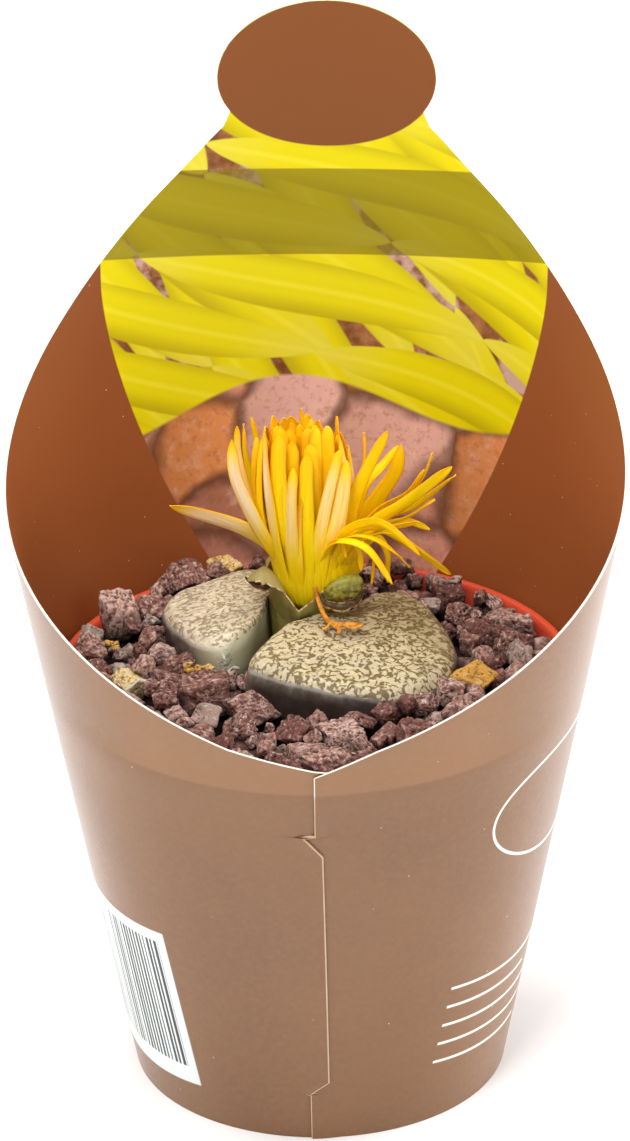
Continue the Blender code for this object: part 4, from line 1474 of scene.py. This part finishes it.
# Petals along the front of the bundle: midline, width and how pale their backs are, which on a few stands
# for a white glint as a painted highlight.
FRONT_PETALS = [
    ([(-3.7, 5.2, 61.4), (-5.0, 4.1, 67.5), (-5.7, 3.6, 73.0), (-6.2, 3.8, 78.6), (-6.2, 4.6, 83.4)],
     2.7, 0.8),
    ([(-2.4, 4.4, 61.4), (-3.0, 3.0, 67.0), (-3.1, 2.5, 71.5), (-3.0, 2.4, 75.6), (-2.7, 2.9, 79.0)],
     2.2, 0.6),
    ([(-1.0, 3.9, 61.4), (-1.1, 2.9, 67.0), (-1.2, 2.6, 71.5), (-1.2, 2.7, 76.2), (-1.0, 3.2, 80.6)],
     2.2, 0.0),
    ([(-0.2, 3.9, 61.4), (0.2, 2.9, 67.2), (0.8, 2.4, 71.6), (1.8, 2.6, 76.4), (3.0, 3.4, 81.2)], 1.6, 0.6),
    ([(1.2, 4.1, 61.4), (1.9, 3.2, 67.2), (2.7, 3.0, 71.4), (3.4, 3.3, 75.8), (3.8, 4.1, 79.6)], 2.4, 0.5),
    ([(0.4, 3.9, 61.4), (0.9, 3.0, 66.4), (1.5, 2.9, 70.4), (1.8, 2.9, 73.4), (1.9, 3.1, 75.8)], 1.5, 0.0),
    ([(-2.0, 4.2, 61.4), (-2.2, 2.9, 66.2), (-2.3, 2.6, 70.0), (-2.1, 2.6, 73.0), (-1.8, 2.8, 75.2)],
     1.4, 0.2),
]
# Further thin petals of the spray: midline and width.
THIN = [
    ([(4.5, 8.8, 64.0), (5.8, 9.0, 66.6), (7.6, 8.9, 68.4), (10.8, 8.8, 69.4), (13.9, 8.6, 68.4)], 1.2),
    ([(0.8, 4.3, 64.0), (1.5, 3.0, 67.4), (2.3, 2.2, 69.5), (3.2, 1.8, 69.6), (3.8, 1.7, 67.6)], 1.2),
    ([(4.4, 8.2, 64.0), (5.6, 8.4, 66.2), (7.2, 8.8, 67.2), (8.6, 9.0, 65.0), (8.6, 9.0, 60.9)], 1.1),
    ([(3.4, 8.8, 64.0), (4.2, 8.8, 69.0), (5.0, 8.6, 73.8), (5.8, 8.6, 77.6), (5.8, 8.6, 81.4)], 0.9),
    ([(4.0, 6.8, 64.0), (5.2, 6.4, 68.4), (7.8, 6.2, 72.2), (11.4, 6.0, 74.6), (13.2, 6.0, 77.6)], 1.7),
    ([(2.6, 5.0, 64.0), (3.4, 3.7, 67.4), (5.6, 2.6, 70.8), (9.4, 2.0, 71.6), (12.8, 1.4, 72.6)], 1.6),
    ([(3.0, 5.2, 64.0), (3.9, 3.9, 67.0), (5.9, 2.9, 69.9), (8.6, 1.8, 69.4), (11.6, 1.2, 66.6)], 1.4),
    ([(1.6, 4.6, 64.0), (2.6, 3.1, 67.4), (4.2, 1.7, 70.4), (7.2, 0.2, 70.8), (10.8, -0.6, 68.6)], 1.3),
    ([(4.3, 7.4, 64.0), (5.7, 6.9, 66.8), (8.2, 6.4, 69.8), (11.2, 6.0, 71.2), (14.6, 5.6, 73.8)], 1.7),
    ([(3.6, 6.0, 64.0), (5.0, 5.1, 66.8), (7.6, 4.4, 69.6), (10.8, 3.4, 69.6), (13.4, 2.6, 67.6)], 1.5),
    ([(2.2, 4.8, 64.0), (3.2, 3.4, 67.0), (4.4, 2.6, 69.2), (5.4, 2.3, 68.0), (5.6, 2.2, 65.6)], 1.1),
    ([(3.2, 12.2, 64.0), (4.4, 13.6, 68.0), (5.6, 14.6, 71.8), (7.8, 15.4, 74.0), (9.8, 15.8, 76.6)], 1.6),
    ([(-1.4, 13.2, 64.0), (-1.4, 14.8, 68.0), (-1.6, 15.8, 73.0), (-2.0, 16.8, 77.4), (-2.4, 16.9, 81.0)],
     1.8),
    ([(-4.0, 12.2, 64.0), (-5.6, 13.4, 67.6), (-6.8, 14.0, 72.6), (-7.8, 14.4, 77.2), (-8.4, 14.4, 80.8)],
     1.8),
    ([(-4.6, 10.2, 64.0), (-6.6, 10.6, 67.8), (-8.0, 10.9, 72.6), (-9.0, 11.0, 77.2), (-9.2, 11.0, 81.4)],
     1.7),
]


# Radius and height of the tube's rows, from the foot.
TUBE_LEVELS = [
    (4.0, 58.6), (4.5, 60.0), (5.0, 61.4), (5.35, 62.8), (5.6, 64.4), (5.75, 66.0), (5.8, 67.4), (5.8, 68.6),
]
TUBE_COLUMNS = 176


def make_corolla_tube(finish):
    """The joined lower part of the petals: a ridged wall with a ragged top, low at the right."""
    points, painted = [], {"along": [], "across": [], "blush": [], "warm": []}
    for n, (radius, height) in enumerate(TUBE_LEVELS):
        for i in range(TUBE_COLUMNS):
            degrees = 360 * i / TUBE_COLUMNS
            wander = noise.noise(Vector((degrees * 0.05, 9.0, height * 0.12)))
            ridge = math.cos(math.radians(degrees * 38) + 5 * wander)
            ragged = 1.6 * noise.noise(Vector((degrees * 0.09, 2.0, 0.0)))
            low = 2.4 * bell((degrees + 180) % 360 - 180, 62.0, 48.0)
            share = smooth_step(61.0, 68.6, height)
            spot = polar(radius + 0.07 * ridge - 0.04, degrees, crown_centre(height))
            points.append((*spot, height + (ragged - low) * share))
            painted["along"].append(0.04 * n)
            painted["across"].append(0.82 * (0.5 - 0.5 * ridge))
            painted["blush"].append(0.0)
            painted["warm"].append((i // 4 % 11) / 11)
    faces = grid_faces(len(TUBE_LEVELS), TUBE_COLUMNS, wrap=True)
    tube = make_piece("corolla_tube", points, faces, [finish], (), painted)
    thicken(tube, 0.12, offset=-1.0)
    return tube


FAR_TIPS_LOWER = 2.6


def upright(turn, share, top, luck):
    """An upright petal's midline in the bundle, at an angle and a share of the bundle's radius."""
    turn += luck.uniform(-7, 7)
    drift = luck.uniform(-6, 9)
    lean = luck.uniform(-0.7, 0.4)
    rise = luck.uniform(-2.0, 0.6) + top - BUNDLE[-1][0]
    rise -= FAR_TIPS_LOWER * share * (1 - math.cos(math.radians(turn))) / 2
    line = []
    for k, (height, radius) in enumerate(BUNDLE):
        way = k / (len(BUNDLE) - 1)
        spread = share * radius * (1 if share > 0.9 else 0.80 + 0.2 * way) + lean * way**2
        line.append((*polar(spread, turn + drift * way, crown_centre(height)), height + rise * way**2))
    return line


def make_leaning_petal(name, midline, width, finish, luck, replaces=(), **shape):
    """A slim petal of the spray, or of the few that lean to the left."""
    facing = FACING_LEFT if midline[-1][0] < 0 else FACING_RIGHT
    make_petal(name, midline, width, finish, luck, replaces, facing, **SLIM, **shape)


def make_petals(finish):
    """All petals. One that stands for a CAD petal is named after it."""
    luck = random.Random(11)
    number = 0
    extra = 0
    for midline, width, blush in LEANING:
        number += 1
        node = f"petal_{number:02d}"
        make_leaning_petal(f"{node}_blade", midline, width, finish, luck, [node], blush=blush, taper=0.72)
    for count, first, pitch, share, width, top, nodes in RINGS:
        for i in range(count):
            midline = upright(first + pitch * i, share, top, luck)
            blush = 0.7 if share > 0.9 and luck.random() < 0.3 else 0.0
            wide = width * luck.uniform(0.88, 1.08)
            if i < nodes:
                number += 1
                node = f"petal_{number:02d}"
                name, replaces = f"{node}_blade", [node]
            else:
                extra += 1
                name, replaces = f"inner_petal_{extra:02d}", ()
            make_petal(name, midline, wide, finish, luck, replaces, blush=blush, taper=0.8, ogive=1.5)
    root = crown_centre(59.2)
    for midline, width, blush in FRONT_PETALS:
        extra += 1
        name = f"front_petal_{extra:02d}"
        midline = [(*root.lerp(Vector(midline[0]).to_2d(), 0.80), 59.2), *midline]
        make_petal(name, midline, width, finish, luck, blush=blush, taper=0.8, ogive=1.8)
    for midline, width in THIN:
        extra += 1
        make_leaning_petal(f"thin_petal_{extra:02d}", midline, width, finish, luck, taper=0.65)


def dried_finish():
    """Streaky orange-brown of a shrivelled petal."""
    finish = Finish("dried_petal", roughness=0.6, specular_ior_level=0.3)
    streak = finish.noise(0.6, 3.0)
    finish.colour(finish.mix(streak.ramp(0.3, 0.7), srgb(182, 106, 28), srgb(230, 160, 58)))
    finish.bump(streak, 0.06)
    return finish.material


def join_strips(lines, facing, luck, **shape):
    """(points, faces) of several strips, each given by its midline and width."""
    points, faces = [], []
    for line, width in lines:
        rows, quads, _ = strip(line, width, facing, luck, **shape)
        gather(points, faces, rows, quads)
    return points, faces


# The dried petal's strand and its three side strands: midline and width.
DRIED_PETAL = [
    ([(-0.2, 3.0, 63.0), (0.2, 2.5, 61.6), (0.8, 1.5, 60.4), (1.5, 0.2, 59.9), (2.6, -1.1, 59.9),
      (5.6, -1.4, 60.1)], 0.62),
    ([(1.4, 0.3, 59.9), (2.2, -1.0, 59.8), (3.0, -2.2, 59.7), (2.9, -3.0, 59.5)], 0.42),
    ([(3.2, -1.3, 59.9), (4.6, -2.0, 59.9), (6.0, -1.9, 60.2)], 0.40),
    ([(1.9, -0.6, 59.8), (1.3, -1.7, 59.6), (0.9, -2.0, 59.6)], 0.30),
]


def make_dried_petal(finish):
    """A shrivelled petal that hangs over the cup and lies forked on the right leaf."""
    points, faces = join_strips(DRIED_PETAL, (0, 0, 1), random.Random(3), cup=0.8, turning=0.8)
    dried = make_piece("dried_petal_curl", points, faces, [finish], ["dried_petal"])
    thicken(dried, 0.2)
    return dried


# Torn dry skin at the left leaf's front corner and on the gravel: midline and width.
FLAKES = [
    ([(-11.4, -2.75, 56.6), (-11.3, -2.95, 55.8), (-11.0, -2.9, 55.1)], 0.7),
    ([(-9.4, -2.3, 54.2), (-10.1, -2.9, 54.5), (-10.9, -3.6, 54.2)], 0.6),
    ([(-20.4, -6.6, 54.4), (-21.6, -7.8, 54.8), (-22.9, -9.2, 54.3)], 0.7),
]


def make_flakes():
    """The torn bits of dry skin, as one piece."""
    finish = Finish("dry_skin", roughness=0.6)
    finish.colour(finish.mix(finish.noise(0.5, 3.0), srgb(236, 236, 222), srgb(170, 162, 136)))
    points, faces = join_strips(FLAKES, (-0.4, -1.0, 0.3), random.Random(8), cup=0.6, turning=1.2)
    flakes = make_piece("dry_skin_flakes", points, faces, [finish.material])
    thicken(flakes, 0.08)
    return flakes


def stamen_finish():
    """Pale filaments with orange pollen at the top."""
    finish = Finish("stamen_pollen", roughness=0.7)
    tip = (finish.axes()[2] - 70.2).ramp(0.0, 0.6)
    finish.colour(finish.mix(tip, srgb(250, 226, 120), srgb(238, 170, 20)))
    finish.bump(finish.noise(0.2, 2.0), 0.05)
    return finish.material


STAMENS = 34
# Radius of a stamen's pollen grain at its levels, and how far each is below the top.
POLLEN_GRAIN = [(0.06, 1.2), (0.17, 0.9), (0.2, 0.4), (0.08, 0.0)]


def make_stamens(finish):
    """Thin filaments with a small grain of pollen on each."""
    luck = random.Random(9)
    points, faces = [], []
    for i in range(STAMENS):
        turn = 137.5 * i
        reach = 0.12 + 1.25 * math.sqrt(i / STAMENS)
        low = polar(reach * 0.6, turn, FLOWER)
        high = polar(reach, turn, FLOWER)
        top = 71.4 + luck.uniform(-0.9, 0.9)
        grain = [ring(radius, top - below, 6, high) for radius, below in POLLEN_GRAIN]
        gather(points, faces, *loft([ring(0.07, 61.6, 6, low), *grain]))
    return make_piece("stamen_spray", points, faces, [finish], ["stamen_tuft"])


# ---------------------------------------------------------------- the stage

CAMERA_DISTANCE = 0.6
CAMERA_AZIMUTH = 2.93
CAMERA_ELEVATION = 24.78
CAMERA_ROLL = -0.67
CAMERA_TARGET = Vector((0.0, 0.0, 0.0666))
CAMERA_LENS = 154.2
FLOOR_REACH = 3.0
SKY_LIGHT = 0.56
LAMP_TARGET = Vector((0.0, 0.0, 0.06))
# Name, place and size in metres, and power in watts.
LAMPS = [
    ("key_light", (-0.18, -0.5, 0.75), 0.3, 4.2),
    ("fill_light", (0.6, -0.5, 0.45), 0.5, 1.0),
    ("top_light", (0.0, 0.1, 0.9), 0.4, 3.0),
    ("left_rim_light", (-0.62, 0.22, 0.22), 0.45, 3.8),
    ("right_rim_light", (0.62, 0.22, 0.22), 0.45, 5.2),
]


def make_camera():
    """The camera looks down on the plant from in front."""
    camera = put_in_scene("camera", bpy.data.cameras.new("camera"))
    camera.data.lens = CAMERA_LENS
    camera.data.sensor_width = 36.0
    camera.data.clip_start = 0.05
    lift, turn = math.radians(CAMERA_ELEVATION), math.radians(CAMERA_AZIMUTH)
    away = Vector((math.sin(turn) * math.cos(lift), -math.cos(turn) * math.cos(lift), math.sin(lift)))
    camera.location = CAMERA_TARGET + away * CAMERA_DISTANCE
    level = (-away).to_track_quat("-Z", "Y").to_matrix().to_4x4()
    facing = level @ Matrix.Rotation(math.radians(CAMERA_ROLL), 4, "Z")
    camera.rotation_euler = facing.to_euler()
    bpy.context.scene.camera = camera


def make_floor():
    """The plain matt floor."""
    finish = Finish("pale_floor", roughness=0.9, specular_ior_level=0.1)
    finish.colour(finish.mix(finish.noise(180.0, 2.0), (0.90, 0.90, 0.90), (0.94, 0.94, 0.94)))
    mesh = bpy.data.meshes.new("floor")
    far = FLOOR_REACH
    mesh.from_pydata([(-far, -far, 0), (far, -far, 0), (far, far, 0), (-far, far, 0)], [], [(0, 1, 2, 3)])
    mesh.materials.append(finish.material)
    put_in_scene("floor", mesh)


def make_lamp(name, place, size, power):
    """A square lamp that shines on the plant."""
    lamp = put_in_scene(name, bpy.data.lights.new(name, "AREA"))
    lamp.data.energy = power
    lamp.data.size = size
    lamp.location = place
    lamp.rotation_euler = (LAMP_TARGET - Vector(place)).to_track_quat("-Z", "Y").to_euler()


def make_stage():
    """A plain pale floor under soft white light."""
    scene = bpy.context.scene
    scene.view_settings.view_transform = "Standard"
    world = bpy.data.worlds.new("studio")
    world.use_nodes = True
    sky = world.node_tree.nodes["Background"]
    sky.inputs["Color"].default_value = (1.0, 1.0, 1.0, 1.0)
    sky.inputs["Strength"].default_value = SKY_LIGHT
    scene.world = world
    make_floor()
    for lamp in LAMPS:
        make_lamp(*lamp)


# ---------------------------------------------------------------- everything together

# Dark, middle and pale colour of each kind of stone, the pale one also its painted highlight on ridges, then
# the colour of its pits and of the painted shade in its hollows.
GRITS = {
    "lava": (srgb(132, 87, 77), srgb(172, 124, 110), srgb(236, 203, 189), srgb(30, 12, 9)),
    "ochre": (srgb(232, 176, 84), srgb(250, 210, 126), srgb(255, 240, 196), srgb(150, 92, 34)),
    "pale": (srgb(184, 156, 142), srgb(214, 196, 182), srgb(240, 228, 216), srgb(104, 76, 64)),
    # The bed below the loose grains is a darker copy of the lava's colours: painted shade.
    "bed": (srgb(58, 38, 33), srgb(96, 68, 60), srgb(130, 104, 96), srgb(34, 20, 17)),
}


def finish_node(node, material):
    """A CAD node that stays as it is gets its finish."""
    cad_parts[node].data.materials.clear()
    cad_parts[node].data.materials.append(material)


def make_ground():
    """The pot with all that lies in it."""
    make_pot(red_plastic())
    grits = {kind: stone_finish(f"{kind}_grit", *colours) for kind, colours in GRITS.items()}
    crowd, fixed = lay_gravel()
    make_named_stones(grits, crowd)
    make_gravel(grits, crowd, fixed)
    make_crumbs(grits["ochre"], crowd)
    finish_node("potting_soil", dark_soil())
    finish_node("gravel_bed", grits["bed"])


def make_plant():
    """The pair of leaves, then the flower from its calyx to its stamens."""
    make_flakes()
    finish_node("plant_base", dry_bark())
    skin = mottled_skin()
    make_leaf("right_leaf_skin", "right_leaf", RIGHT_LEAF, skin)
    make_leaf("left_leaf_skin", "left_leaf", LEFT_LEAF, skin)
    flesh = green_flesh()
    finish_node("flower_stalk", flesh)
    make_cup(flesh)
    for name, midline in LOBES.items():
        make_lobe(name, midline, LOBE_SHAPES.get(name, LOBE_SHAPE), flesh)
    make_margins(flesh)
    silk = petal_finish()
    make_corolla_tube(silk)
    make_petals(silk)
    make_dried_petal(dried_finish())
    make_stamens(stamen_finish())


make_camera()
make_stage()
make_sleeve([outside_card(), inside_card(), card_edge()])
make_ground()
make_plant()
